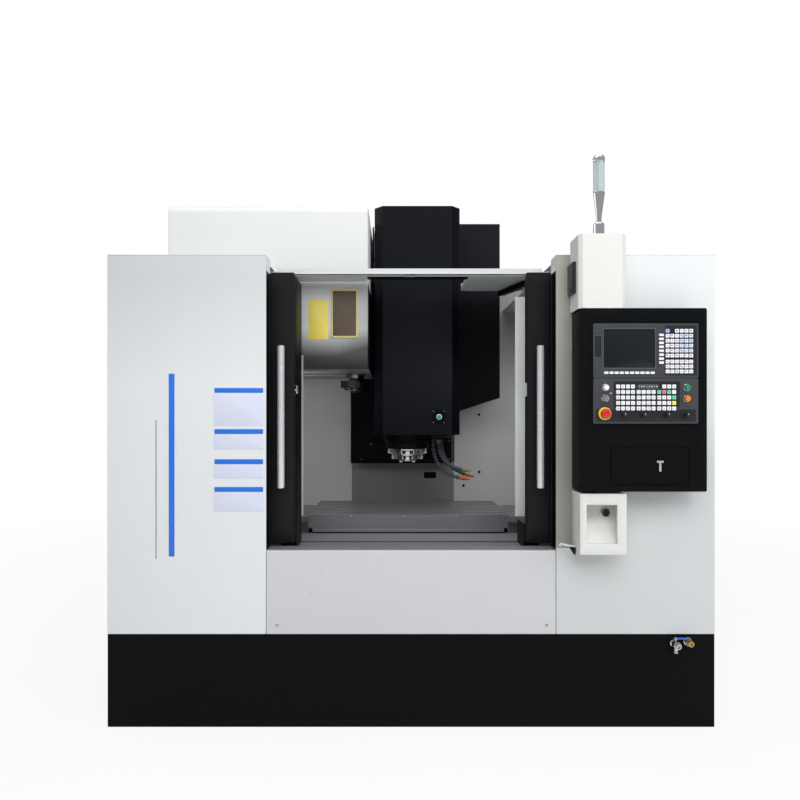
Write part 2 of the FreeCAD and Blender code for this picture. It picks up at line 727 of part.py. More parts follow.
def roof_frame():
    path = [(-700, 1906), (-766, 1906), (-766, ROOF), (-720, ROOF)]
    beam = prism_x(fold(path[::-1], SHEET), -BAY, BAY)
    right = block(266, BAY, -702, -441, 1906, 1909)
    right_lip = block(266, 269, -766, -441, 1906, 1930)
    rear_lip = block(266, BAY, -444, -441, 1906, 1942)
    left = block(-BAY, -196, -702, -650, 1906, 1909)
    rail = block(-1015, 1015, -850, -836, RAIL_TOP - 12, RAIL_TOP)
    ties = [block(x - 20, x + 20, -838, -760, 1903, RAIL_TOP) for x in (-560, 0, 560)]
    return fuse(beam, right, right_lip, rear_lip, left, rail, *ties)


GUARD_X = 1225.0             # inner face of the side walls of the work space
GUARD_LIP = 1240.0           # the rear wall and front flange run past the side walls
GUARD_REAR = 354.0
GUARD_FRONT = -676.0
GUARD_FOOT = 470.0
FLANGE_FOOT = 812.0
CHIP_X = 445.0               # inner edge of the chip floor, its lowest line
CHIP_LOW = 395.0
CHIP_HIGH = 478.0            # height of the chip floor at the side walls


def chip_floor_top(x):
    """Height of the chip floor's upper face at a distance from the middle."""
    rise = (CHIP_HIGH - CHIP_LOW) / (GUARD_X - CHIP_X)
    return CHIP_LOW + (x - CHIP_X) * rise + SHEET * math.hypot(1, rise)


def guard_plates(rear_top, top):
    """The rear wall, side wall, front flange and sloping chip floor of the right side."""
    rear = block(310, GUARD_LIP, GUARD_REAR, GUARD_REAR + SHEET, GUARD_FOOT, rear_top)
    side = block(GUARD_X, GUARD_X + SHEET, GUARD_FRONT, GUARD_REAR, GUARD_FOOT, top)
    flange = block(492, GUARD_LIP, GUARD_FRONT - SHEET, GUARD_FRONT, FLANGE_FOOT, top)
    slope = [(CHIP_X, CHIP_LOW), (GUARD_X, CHIP_HIGH)]
    floor = prism_y(fold(slope, SHEET), -860, GUARD_REAR - 2)
    return [rear, side, flange, floor]


def inner_guards():
    """Grey sheets round the work space, with the fixed stage of the front way cover."""
    sheets = guard_plates(2090, 1831)
    sheets += [mirrored(plate) for plate in guard_plates(1560, 1560)]
    sheets.append(block(-338, 310, 348, 351, 620, 985))
    sheets += front_hood(3, chip_floor_top(APRON_HALF - 3 * HOOD_STEP) + 0.1)
    return sheets


JAMB_FOOT = 700.0            # just above the front way cover


def black_guards():
    """Black sheets: the shields beside the head and the jambs behind the doors."""
    path = [(300, 354), (300, -50), (524, -50), (524, 354)]
    shield = prism_z(fold(path[::-1], SHEET), 1300, 2363)
    under = [(290, 1290), (540, 1290), (540, 1384), (524, 1378), (300, 1305), (290, 1302)]
    shield = shield.cut(prism_y(under, -60, 360))
    left_shield = block(-193, -185, -50, 190, 1560, 2347)
    jamb = [(-560, -858), (-498, -858), (-498, -715)]
    left_jamb = prism_z(fold(jamb[::-1], SHEET), JAMB_FOOT, 1880)
    right_jamb = mirrored(prism_z(fold(jamb[::-1], SHEET), JAMB_FOOT, 806))
    return [shield, left_shield, left_jamb, right_jamb]


def door_panel():
    """The right door: a pan with a window opening, hung from two roller plates."""
    x0 = DOOR_EDGE
    x1 = DOOR_EDGE + DOOR_WIDTH
    pan = block(x0, x1, DOOR_FACE, DOOR_FACE + DOOR_DEPTH, DOOR_FOOT, DOOR_TOP)
    y0 = DOOR_FACE + SHEET
    hollow = block(x0 + SHEET, x1 - SHEET, y0, y0 + 60, DOOR_FOOT + SHEET, DOOR_TOP - SHEET)
    opening = block(620, 985, DOOR_FACE - 5, DOOR_FACE + 9, 1000, 1750)
    upright = [e for e in opening.Edges if abs(e.tangentAt(0).y) > 0.9]
    opening = opening.makeFillet(30, upright)
    pan = pan.cut(Part.makeCompound([hollow, opening]))
    hangers = []
    for x in (640, 960):
        axis_z = RAIL_TOP + ROLLER + 0.5
        plate = block(x - 30, x + 30, -874, -864, 1840, axis_z + ROLLER)
        hangers += [plate, flats(12, ROLLER, (x, -866, axis_z), (x, -834, axis_z))]
    return fuse(pan, *hangers)


def door_window():
    return block(605, 1000, DOOR_FACE + SHEET, DOOR_FACE + SHEET + 6, 985, 1765)


def door_handle():
    y = DOOR_FACE - HANDLE_REACH
    bar = flats(24, 15, (HANDLE_X, y, HANDLE_FOOT), (HANDLE_X, y, HANDLE_TOP))
    posts = [flats(8, 9, (HANDLE_X, y, z), (HANDLE_X, DOOR_FACE, z)) for z in (1054, 1494)]
    return fuse(bar, *posts)


# ---- operator console ---------------------------------------------------------------------
UNIT_LEFT, UNIT_RIGHT = 707.0, 1117.0
UNIT_SPLIT = 1426.0
KEY_PROUD = 2.5


def console_housing():
    box = block(661, 1153, CONSOLE_FACE, FRONT, 982, 1700)
    seat = block(UNIT_LEFT, UNIT_RIGHT, -1140, -1121, 1248, 1639)
    left = block(735, 775, -1122, -1085, 1262, 1410)
    right = block(1052, 1092, -1122, -1085, 1325, 1410)
    knobs = [block(x - 45, x + 70, -1122, -1085, 1262, 1298) for x in (KNOBS[0], KNOBS[2])]
    flap_seat = block(775, 1083, -1140, -1130, 1009, 1160)
    pocket = block(792, 1066, -1131, -1030, 1024, 1144)
    return box.cut(Part.makeCompound([fuse(seat, left, right, *knobs), fuse(flap_seat, pocket)]))


def key_block(x, z, wide, high, face=UNIT_FACE):
    return block(x - wide / 2, x + wide / 2, face - KEY_PROUD, face + 0.5, z - high / 2, z + high / 2)


def display_unit():
    body = block(UNIT_LEFT, UNIT_RIGHT, UNIT_FACE, -1121, UNIT_SPLIT, 1639)
    upright = [e for e in body.Edges if abs(e.tangentAt(0).y) > 0.9]
    body = body.makeChamfer(4, upright)
    body = body.cut(block(747, 947, UNIT_FACE - 1, UNIT_FACE + 3, 1466, 1617))
    keys = []
    for row in range(9):
        z = 1610 - 19.3 * row - (4 if row > 5 else 0)
        for column in range(6):
            if (row, column) != (0, 1):
                keys.append(key_block(996 + 18.3 * column, z, 14, 13))
    flap = block(712, 738, UNIT_FACE - 2, UNIT_FACE + 0.5, 1506, 1590)
    return fuse(body, flap, *keys)


KNOBS = [826.0, 903.0, 995.0, 1070.0]
KNOB_Z = 1280.0
WHITE_BUTTON = (755.0, 1389.0)
KEY_SWITCH = (755.0, 1347.0)
GREEN_BUTTON = (1072.0, 1389.0)
ORANGE_BUTTON = (1072.0, 1346.0)
STOP = (752.0, 1287.0)
STEM = 8.0


def machine_panel():
    body = block(UNIT_LEFT, UNIT_RIGHT, UNIT_FACE, -1121, 1248, UNIT_SPLIT - 1)
    upright = [e for e in body.Edges if abs(e.tangentAt(0).y) > 0.9]
    body = body.makeChamfer(4, upright)
    keys = []
    for row in range(4):
        for column in range(12):
            lamp = (row == 0 and 3 < column < 8) or (row == 1 and 3 < column < 6)
            if not lamp:
                x = 803 + 19.3 * column + 3 * (column > 3) + 3 * (column > 7)
                keys.append(key_block(x, 1393 - 21.4 * row, 15, 15))
    lamps = block(880, 960, UNIT_FACE - 1, UNIT_FACE + 0.5, 1384, 1402)
    collar = flats(28, 27, (STOP[0], UNIT_FACE - 3, STOP[1]), (STOP[0], UNIT_FACE + 0.5, STOP[1]))
    body = fuse(body, lamps, collar, *keys)
    holes = []
    for x, z in (WHITE_BUTTON, KEY_SWITCH, GREEN_BUTTON, ORANGE_BUTTON, STOP):
        holes.append(flats(8, STEM + 2 * CLEAR, (x, -1150, z), (x, -1120, z)))
    for x in KNOBS:
        holes.append(flats(6, 3 + 2 * CLEAR, (x, -1150, KNOB_Z), (x, -1120, KNOB_Z)))
    return body.cut(Part.makeCompound(holes))


def push_button(spot):
    return round_button(spot[0], spot[1], UNIT_FACE - 4.5, 11, STEM, 8, 20)


def stop_button():
    """The mushroom head of the emergency stop, on its stem."""
    x, z = STOP
    profile = [(12, 0), (18, 3), (20, 8), (18, 13), (STEM, 13.5), (STEM, 44)]
    return lathe(profile, 16, (x, UNIT_FACE - 23, z), (0, 1, 0))


def key_switch():
    x, z = KEY_SWITCH
    barrel = flats(20, 11, (x, UNIT_FACE - 9, z), (x, UNIT_FACE - 3.5, z))
    stem = flats(8, STEM, (x, UNIT_FACE - 4, z), (x, UNIT_FACE + 18, z))
    bow = block(x - 2, x + 2, UNIT_FACE - 24, UNIT_FACE - 8, z - 9, z + 9)
    return fuse(barrel, stem, bow)


def override_knob(x):
    body = flats(14, 13, (x, UNIT_FACE - 12, KNOB_Z), (x, UNIT_FACE - 1, KNOB_Z))
    grip = block(x - 4, x + 4, UNIT_FACE - 20, UNIT_FACE - 11, KNOB_Z - 13, KNOB_Z + 13)
    stem = flats(8, 3, (x, UNIT_FACE - 2, KNOB_Z), (x, UNIT_FACE + 18, KNOB_Z))
    return fuse(body, grip, stem)


LATCH = (967.0, 1084.0)


def console_flap():
    plate = block(777, 1081, CONSOLE_FACE, CONSOLE_FACE + 4, 1011, 1158)
    hem = [block(777, 1081, CONSOLE_FACE + 3, CONSOLE_FACE + 5, z, z + 8) for z in (1013, 1150)]
    hole = flats(12, 4 + 2 * CLEAR, (LATCH[0], -1140, LATCH[1]), (LATCH[0], -1120, LATCH[1]))
    return fuse(plate, *hem).cut(hole)


def flap_latch():
    x, z = LATCH
    stem = flats(8, 4, (x, CONSOLE_FACE - 3, z), (x, CONSOLE_FACE + 12, z))
    bar = block(x - 4, x + 4, CONSOLE_FACE - 9, CONSOLE_FACE - 1, z - 22, z + 14)
    head = block(x - 13, x + 13, CONSOLE_FACE - 9, CONSOLE_FACE - 1, z + 12, z + 20)
    tongue = block(x - 6, x + 6, CONSOLE_FACE + 7, CONSOLE_FACE + 11, z - 6, z + 24)
    return fuse(stem, bar, head, tongue)


def duct_box():
    outline = [(654, FRONT), (654, -1121), (668, CONSOLE_FACE), (822, CONSOLE_FACE)]
    outline += [(844, -1113), (844, FRONT)]
    duct = prism_z(outline, 1700, 1992)
    service = block(642, 654, -1092, -1012, 1768, 1893)
    upright = [e for e in service.Edges if abs(e.tangentAt(0).x) > 0.9]
    service = service.makeChamfer(4, upright)
    knob = flats(12, 9, (630, -1080, 1782), (643, -1080, 1782))
    return fuse(duct, service, knob)


def niche_box():
    face = -1125.0
    box = block(661, 843, face, FRONT, 733, 973)
    upright = [e for e in box.Edges if abs(e.tangentAt(0).z) > 0.9 and e.Vertexes[0].Y < -1100]
    box = box.makeFillet(10, upright)
    outline = [(face - 5, 773), (-1108, 773), (-1040, 876), (-1040, 929), (face - 5, 929)]
    niche = prism_x(outline, 686, 807)
    box = box.cut(niche)
    socket = flats(16, 21, (758, -1058, 902), (758, -1038, 902))
    nut = prism_y([(758 + a, 902 + b) for a, b in polygon(6, 27, 0, 0)], -1047, -1038)
    hook = flats(8, 4, (600, -1060, 760), (663, -1060, 760))
    tip = flats(8, 4, (602, -1060, 758), (602, -1060, 778))
    return fuse(box, socket, nut, hook, tip)


def signal_light():
    profile = [
        (21.5, 0), (21.5, 54), (17, 58), (11, 60), (11, 82), (23.5, 177), (22.5, 180),
        (22.5, 306), (23.5, 308), (23.5, 320), (17, 330),
    ]
    return lathe(profile, 16, (750, -1075, 1992), (0, 0, 1))


def plinth_fittings():
    """The drain valve's body and the air coupler, on the skirt's front."""
    y = FRONT
    body = flats(12, 13, (1078, y - 34, 346), (1078, y, 346))
    hexes = prism_y([(1078 + a, 346 + b) for a, b in polygon(6, 17, 0, 0)], y - 40, y - 28)
    spout = flats(10, 9, (1078, y - 22, 346), (1078, y - 22, 322))
    coupler = flats(10, 11, (1136, y - 30, 352), (1136, y, 352))
    collar = flats(10, 16, (1136, y - 20, 352), (1136, y - 6, 352))
    return [body, hexes, spout, coupler, collar]


def valve_lever():
    y = FRONT
    stem = flats(8, 4, (1078, y - 22, 359.5), (1078, y - 22, 372))
    handle = block(1070, 1122, y - 28, y - 16, 368, 373)
    return fuse(stem, handle)


# ---- rear cabinet -------------------------------------------------------------------------
def rear_cabinet():
    box = block(-620, 620, 880, 1150, 300, 1980)
    inside = block(-600, 600, 900, 1160, 320, 1960)
    plate = block(-560, 560, 899, 912, 380, 1900)
    return fuse(box.cut(inside), plate)


def cabinet_door():
    pan = block(-618, 618, 1150.5, 1165, 302, 1978)
    hollow = block(-600, 600, 1145, 1162, 320, 1960)
    return pan.cut(hollow)


# ---- write every part ---------------------------------------------------------------------
def main():
    os.makedirs("parts", exist_ok=True)

    save("base_casting", base_casting())
    save("column_casting", column_casting())
    save("saddle_casting", saddle_casting())
    save("work_table", table())
    rear_cover = rear_plate(590, SPINDLE_Y + SADDLE_DEEP / 2, 380, 300)
    save("saddle_way_covers", *front_hood(0), *x_hood(3), rear_cover)
    save("table_way_covers", *x_hood(0))
    save("side_cover_stage_2", *x_hood(1))
    save("side_cover_stage_3", *x_hood(2))
    save("front_cover_stage_2", *front_hood(1))
    save("front_cover_stage_3", *front_hood(2))

    save("x_screw", ball_screw((-690, SPINDLE_Y, X_SCREW_Z), (690, SPINDLE_Y, X_SCREW_Z), 56))
    save("y_screw", ball_screw((0, -600, Y_SCREW_Z), (0, 232, Y_SCREW_Z), 52))
    save("z_screw", ball_screw((0, 300, 1050), (0, 300, 2058), 50))

    save("head_casting", head_casting())
    save("head_cover", head_cover())
    save("head_way_plate", head_way_plate())
    save("spindle_ring", spindle_ring())
    save("spindle_shaft", spindle_shaft())
    save("coolant_hoses", *[coolant_hose(route) for route in HOSE_ROUTES])
    save("release_button", round_button(158, 1272, COVER_FRONT - 5, 13, STEM, 7, 14))

    save("magazine_cover", magazine_cover())
    save("magazine_window", magazine_window())
    save("changer_gearbox", gearbox())
    save("magazine_disc", magazine_disc())
    save("change_pot", change_pot())
    save("arm_sleeve", arm_sleeve())
    save("tool_arm", tool_arm())

    save("base_skirt", base_skirt())
    save("right_panel", side_panel(350))
    save("left_panel", mirrored(side_panel(-650)))
    save("sill_panel", sill_panel())
    save("roof_frame", roof_frame())
    save("inner_guards", *inner_guards())
    save("black_guards", *black_guards())
    for side, flip in (("right", False), ("left", True)):
        pieces = {"door": door_panel(), "window": door_window(), "handle": door_handle()}
        for piece, shape in pieces.items():
            save(side + "_" + piece, mirrored(shape) if flip else shape)

    save("console_housing", console_housing())
    save("display_unit", display_unit())
    save("machine_panel", machine_panel())
    save("stop_button", stop_button())
    save("key_switch", key_switch())
    save("white_button", push_button(WHITE_BUTTON))
    save("green_button", push_button(GREEN_BUTTON))
    save("orange_button", push_button(ORANGE_BUTTON))
    for number, x in enumerate(KNOBS, 1):
        save("override_knob_" + str(number), override_knob(x))
    save("console_flap", console_flap())
    save("flap_latch", flap_latch())
    save("duct_box", duct_box())
    save("niche_box", niche_box())
    save("signal_light", signal_light())
    save("valve_lever", valve_lever())
    save("rear_cabinet", rear_cabinet())
    save("cabinet_door", cabinet_door())


main()
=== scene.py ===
import itertools
import math
from collections import namedtuple

import bmesh
import bpy
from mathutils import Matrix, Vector


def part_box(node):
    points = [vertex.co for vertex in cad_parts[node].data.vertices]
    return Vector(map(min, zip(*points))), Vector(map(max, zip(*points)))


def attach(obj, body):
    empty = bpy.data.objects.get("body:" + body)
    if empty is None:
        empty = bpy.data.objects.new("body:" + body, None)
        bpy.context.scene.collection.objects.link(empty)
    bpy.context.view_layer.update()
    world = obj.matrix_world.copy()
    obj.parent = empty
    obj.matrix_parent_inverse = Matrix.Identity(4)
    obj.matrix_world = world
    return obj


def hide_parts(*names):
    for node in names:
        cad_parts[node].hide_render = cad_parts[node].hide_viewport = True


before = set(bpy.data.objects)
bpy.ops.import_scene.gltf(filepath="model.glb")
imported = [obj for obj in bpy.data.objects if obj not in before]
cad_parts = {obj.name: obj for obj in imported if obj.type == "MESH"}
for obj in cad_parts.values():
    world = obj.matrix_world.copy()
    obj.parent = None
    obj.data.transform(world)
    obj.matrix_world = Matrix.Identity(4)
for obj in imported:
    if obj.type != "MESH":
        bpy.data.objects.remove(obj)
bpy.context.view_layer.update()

bl_info = {
    "name": "Machining Center Looks",
    "version": (1, 0, 0),
    "blender": (4, 5, 0),
    "location": "3D View > Sidebar > Machine",
    "description": "Dresses the packed machining center with sheet metal, controls and finishes",
    "category": "Object",
}

# Sizes are millimetres in the machine's frame: +X the operator's right, +Y into the machine and
# +Z up, from the centre of the footprint on the floor. The mesh maker turns them into metres.
MM = 0.001


def span(node):
    """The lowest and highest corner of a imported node, in millimetres."""
    low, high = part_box(node)
    return low / MM, high / MM


# ---- driving sizes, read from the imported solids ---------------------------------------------
PANEL_LOW, PANEL_HIGH = span("right_panel")
SKIRT_HIGH = span("base_skirt")[1]
SILL_LOW, SILL_HIGH = span("sill_panel")
DOOR_LOW, DOOR_HIGH = span("right_door")
PANE_LOW, PANE_HIGH = span("right_window")
HANDLE_LOW, HANDLE_HIGH = span("right_handle")
COVER_LOW, COVER_HIGH = span("head_cover")
CHANGER_LOW, CHANGER_HIGH = span("magazine_cover")
PORTHOLE_LOW, PORTHOLE_HIGH = span("magazine_window")
CONSOLE_LOW, CONSOLE_HIGH = span("console_housing")
UNIT_LOW, UNIT_HIGH = span("display_unit")
KEYS_LOW, KEYS_HIGH = span("machine_panel")
FLAP_LOW, FLAP_HIGH = span("console_flap")
NICHE_LOW, NICHE_HIGH = span("niche_box")
LIGHT_LOW, LIGHT_HIGH = span("signal_light")
RING_LOW, RING_HIGH = span("spindle_ring")
ARM_LOW, ARM_HIGH = span("tool_arm")
TABLE_LOW, TABLE_HIGH = span("work_table")
WAY_LOW = span("head_way_plate")[0]

FRONT = SILL_LOW.y
SHEET = 3.0
TABLE_EDGE = 67.0                 # thickness of the table's edge
APRON_TOP = 690.0                 # lid of the front way cover's first stage
SPINDLE = Vector(((RING_LOW.x + RING_HIGH.x) / 2, (RING_LOW.y + RING_HIGH.y) / 2, RING_LOW.z))
DOOR_FACE = HANDLE_HIGH.y
KEY_PROUD = 2.5                   # how far the keys stand out of their unit's face
UNIT_FACE = UNIT_LOW.y + KEY_PROUD


# ---- colours --------------------------------------------------------------------------------
def tone(red, green, blue):
    """A screen colour, 0 to 255, as the linear colour a shader takes."""
    values = [c / 255 for c in (red, green, blue)]
    return tuple(c / 12.92 if c <= 0.04045 else ((c + 0.055) / 1.055) ** 2.4 for c in values)


def colour_prop(name, description, red, green, blue):
    return bpy.props.FloatVectorProperty(
        name=name,
        description=description,
        subtype="COLOR",
        size=3,
        min=0.0,
        max=1.0,
        default=tone(red, green, blue),
    )


class MachineColours(bpy.types.PropertyGroup):
    """Paints and plastics of the machine."""

    panel: colour_prop("Side sheets", "Pale grey powder coat of the enclosure", 217, 220, 221)
    cover: colour_prop("Changer cover", "White sheet over the tool changer", 213, 215, 214)
    sill: colour_prop("Sill", "Silver paint of the front sill", 196, 197, 199)
    duct: colour_prop("Duct box", "Warm white of the boxes above and below the console", 214, 215, 211)
    skirt: colour_prop("Skirt", "Black of the base skirt", 17, 17, 18)
    door: colour_prop("Doors", "Near-black of the doors and their jambs", 26, 28, 30)
    head: colour_prop("Head cover", "Blue-black of the spindle head cover", 18, 20, 26)
    console: colour_prop("Console", "Black of the operator console", 14, 15, 17)
    unit: colour_prop("Control unit", "Dark grey of the display and key units", 62, 64, 68)
    inner: colour_prop("Inner guards", "Grey paint round the work space", 196, 198, 198)
    stop: colour_prop("Stop button", "Red of the mushroom head", 196, 30, 32)
    collar: colour_prop("Stop collar", "Yellow of the ring round the stop button", 240, 206, 40)
    lever: colour_prop("Valve lever", "Blue dip of the drain valve's lever", 24, 92, 196)
    pipe: colour_prop("Coolant pipes", "Grey of the jointed coolant pipes", 70, 71, 77)
    nozzle: colour_prop("Nozzles", "Orange of the pipe collars and nozzles", 168, 80, 24)


def length_prop(name, description, default, low, high):
    return bpy.props.FloatProperty(
        name=name, description=description, default=default * MM, min=low * MM, max=high * MM, unit="LENGTH"
    )


def power_prop(name, description, default):
    return bpy.props.FloatProperty(
        name=name, description=description, default=default, min=0.0, subtype="POWER", unit="POWER"
    )


class MachineSizes(bpy.types.PropertyGroup):
    """Sizes of the details that the looks add."""

    bend: length_prop("Bend radius", "Outside radius of the folded sheets", 5.0, 3.5, 20.0)
    screw: length_prop("Screw head", "Radius of the button-head screws that hold the sheets", 6.0, 3.0, 12.0)
    links: bpy.props.IntProperty(
        name="Pipe links", description="Ball-and-socket links in each coolant pipe", default=13, min=6, max=30
    )


class MachineLights(bpy.types.PropertyGroup):
    """Soft studio light."""

    front: power_prop("Front light", "Power of the large softbox beside the camera", 146.0)
    inside: power_prop("Work light", "Power of each small lamp in the work space", 1.9)
    top: power_prop("Top light", "Power of the overhead softbox", 70.0)


# ---- shader maths ---------------------------------------------------------------------------
class Wire:
    """A value socket that is written like a number: each operator adds its Math node."""

    def __init__(self, nodes, socket):
        self.nodes = nodes
        self.socket = socket

    def maths(self, operation, *values):
        return self.nodes.node("ShaderNodeMath", {"operation": operation}, *values)

    def __add__(self, other):
        return self.maths("ADD", self, other)

    def __sub__(self, other):
        return self.maths("SUBTRACT", self, other)

    def __rsub__(self, other):
        return self.maths("SUBTRACT", other, self)

    def __mul__(self, other):
        return self.maths("MULTIPLY", self, other)

    def __gt__(self, other):
        return self.maths("GREATER_THAN", self, other)

    def __lt__(self, other):
        return self.maths("LESS_THAN", self, other)

    __radd__ = __add__
    __rmul__ = __mul__

    def held(self, low, high):
        """Rises from 0 to 1 between two values, and stays there; it falls where low is above high."""
        return self.nodes.node(
            "ShaderNodeMapRange", {"clamp": True}, Value=self, **{"From Min": low, "From Max": high}
        )


class Nodes:
    """Writes the nodes of one shader tree."""

    def __init__(self, tree):
        self.tree = tree
        tree.nodes.clear()

    def add(self, kind, settings, *inputs, **named):
        """A node of a kind: its settings first, then its sockets in order and by name."""
        made = self.tree.nodes.new(kind)
        for name, value in settings.items():
            setattr(made, name, value)
        pairs = list(zip(made.inputs, inputs))
        pairs += [(made.inputs[name], value) for name, value in named.items()]
        for socket, value in pairs:
            if isinstance(value, Wire):
                self.tree.links.new(value.socket, socket)
            elif isinstance(value, (tuple, list)) and len(value) == 3 and socket.type == "RGBA":
                socket.default_value = (*value, 1.0)
            else:
                socket.default_value = value
        return made

    def node(self, kind, settings=None, *inputs, output=0, **named):
        """The first output of a new node, or the one that is asked for."""
        return Wire(self, self.add(kind, settings or {}, *inputs, **named).outputs[output])

    def rays(self, *kinds):
        """For each kind of ray, a value that is 1 on such rays."""
        paths = self.add("ShaderNodeLightPath", {})
        return [Wire(self, paths.outputs["Is %s Ray" % kind]) for kind in kinds]


class Finish(Nodes):
    """One procedural finish, drawn in the frame's metres so that it stays on the surface."""

    def __init__(self, name):
        self.material = bpy.data.materials.new(name)
        self.material.use_nodes = True
        super().__init__(self.material.node_tree)
        self.where = self.node("ShaderNodeTexCoord", output="Object")
        split = self.add("ShaderNodeSeparateXYZ", {}, self.where)
        self.x, self.y, self.z = [Wire(self, split.outputs[i]) for i in range(3)]

    def scaled(self, x, y, z):
        """The surface's place with each axis stretched, for grain and brushing."""
        return self.node("ShaderNodeVectorMath", {"operation": "MULTIPLY"}, self.where, (x, y, z))

    def noise(self, scale, detail=2.0, place=None, rough=0.5):
        return self.node(
            "ShaderNodeTexNoise",
            {"noise_dimensions": "3D"},
            Vector=place or self.where,
            Scale=scale,
            Detail=detail,
            Roughness=rough,
        )

    def mix(self, low, high, factor):
        """A colour between two colours."""
        made = self.add("ShaderNodeMix", {"data_type": "RGBA"})
        for name, value in (("Factor_Float", factor), ("A_Color", low), ("B_Color", high)):
            socket = next(s for s in made.inputs if s.identifier == name)
            if isinstance(value, Wire):
                self.tree.links.new(value.socket, socket)
            elif name == "Factor_Float":
                socket.default_value = value
            else:
                socket.default_value = (*tuple(value)[:3], 1.0)
        return Wire(self, next(s for s in made.outputs if s.identifier == "Result_Color"))

    def inside(self, low, high):
        """1 inside a box of the machine's frame, in millimetres, and 0 outside; None if it has no side."""
        mask = None
        for axis, a, b in zip((self.x, self.y, self.z), low, high):
            sides = [axis > a * MM] if a is not None else []
            sides += [axis < b * MM] if b is not None else []
            for side in sides:
                mask = side if mask is None else mask * side
        return mask

    def patched(self, paint, gloss, patches):
        """Another colour, roughness and metal inside boxes; the metal is named as the shader's socket."""
        metal = None
        for low, high, colour, rough, share in patches:
            mask = self.inside(low, high)
            paint = self.mix(paint, colour, mask)
            gloss = gloss * (1 - mask) + mask * rough
            if share:
                metal = mask * share if metal is None else metal + mask * share
        return paint, gloss, {} if metal is None else {"Metallic": metal}

    def bump(self, height, strength, distance, edge):
        """A bump over edges rounded by the shader, so no fold looks knife-sharp."""
        sockets = {"Height": height, "Strength": strength, "Distance": distance}
        if edge:
            sockets["Normal"] = self.node("ShaderNodeBevel", {"samples": 4}, Radius=edge * MM)
        return self.node("ShaderNodeBump", {}, **sockets)

    def done(self, colour, rough, normal, **sockets):
        """Joins the values to the surface shader and returns the material."""
        sockets.update({"Base Color": colour, "Roughness": rough, "Normal": normal})
        shader = self.node("ShaderNodeBsdfPrincipled", {}, output="BSDF", **sockets)
        self.add("ShaderNodeOutputMaterial", {}, shader)
        return self.material


def darker(colour, by):
    return tuple(c * by for c in tuple(colour)[:3])


FINISHES = {}


def finish(name):
    """A finish that an earlier step has mixed."""
    if name not in FINISHES:
        raise RuntimeError("mix the finishes before the pieces: no finish named " + name)
    return FINISHES[name]


ANYWHERE = (None, None, None)
DUST = tone(150, 146, 138)
DUST_TOP = 550.0                  # height to which dust greys the paint
OIL = tone(58, 52, 44)
MACHINED = tone(172, 174, 176)
MACHINED_ROUGH = 0.28
# A slow change of colour along an axis, and another finish, both inside a box of the frame. The fades are
# painted shade; some patches are painted shade or painted light.
Fade = namedtuple("Fade", "axis start full shade share low high", defaults=(ANYWHERE, ANYWHERE))
Patch = namedtuple("Patch", "low high colour rough metal", defaults=(0.0,))


def powder_coat(name, colour, rough, peel=0.12, edge=1.2, dust=0.05, shine=0.5, patches=(), fades=()):
    """Sheet-metal paint: orange peel, unevenness, handling marks, dust low down, and areas greyed as painted
    shade.
    """
    coat = Finish(name)
    cloud = coat.noise(1.7, 3.0)
    streak = coat.noise(1.0, 3.0, coat.scaled(9.0, 9.0, 0.6))
    paint = coat.mix(darker(colour, 0.955), darker(colour, 1.03), cloud * 0.6 + streak * 0.4)
    low = 1 - coat.z.held(0.0, DUST_TOP * MM)
    paint = coat.mix(paint, DUST, low * coat.noise(14.0, 4.0).held(0.45, 0.75) * dust)
    for fade in fades:
        amount = getattr(coat, fade.axis).held(fade.start * MM, fade.full * MM) * fade.share
        mask = coat.inside(fade.low, fade.high)
        paint = coat.mix(paint, fade.shade, amount if mask is None else amount * mask)
    marks = coat.noise(3.1, 4.0).held(0.55, 0.8)
    gloss = rough + (coat.noise(34.0, 2.0) - 0.5) * 0.12 + marks * 0.06
    paint, gloss, metal = coat.patched(paint, gloss, patches)
    normal = coat.bump(coat.noise(420.0, 2.0) + coat.noise(90.0, 1.0) * 0.4, peel, 0.0006, edge)
    return coat.done(paint, gloss, normal, **{"Specular IOR Level": shine}, **metal)


def worked_metal(name, colour, stretch, rough, mark=0.15, scale=1.0, metallic=1.0):
    """Bright metal with tool marks: the stretch is large across them and small along them."""
    metal = Finish(name)
    lines = metal.noise(scale, 4.0, metal.scaled(*stretch), 0.6)
    wide = metal.noise(2.6, 3.0)
    stain = metal.noise(11.0, 5.0).held(0.52, 0.8)
    base = metal.mix(darker(colour, 0.82), darker(colour, 1.08), lines * 0.7 + wide * 0.3)
    base = metal.mix(base, darker(colour, 0.62), stain * 0.22)
    gloss = rough + (lines - 0.5) * 0.22 + stain * 0.1
    normal = metal.bump(lines, mark, 0.0004, 0.8)
    return metal.done(base, gloss, normal, Metallic=metallic)


def moulded(name, colour, rough, grain=700.0, strength=0.1, coat=0.0, edge=0.5, shine=0.5):
    """Moulded plastic or rubber: a fine spark grain and slightly polished high spots."""
    plastic = Finish(name)
    fine = plastic.noise(grain, 2.0)
    rub = plastic.noise(38.0, 4.0)
    base = plastic.mix(darker(colour, 0.9), darker(colour, 1.07), rub)
    normal = plastic.bump(fine, strength, 0.0003, edge)
    sockets = {"Coat Weight": coat, "Coat Roughness": 0.12, "Specular IOR Level": shine}
    return plastic.done(base, rough + (rub - 0.5) * 0.14, normal, **sockets)


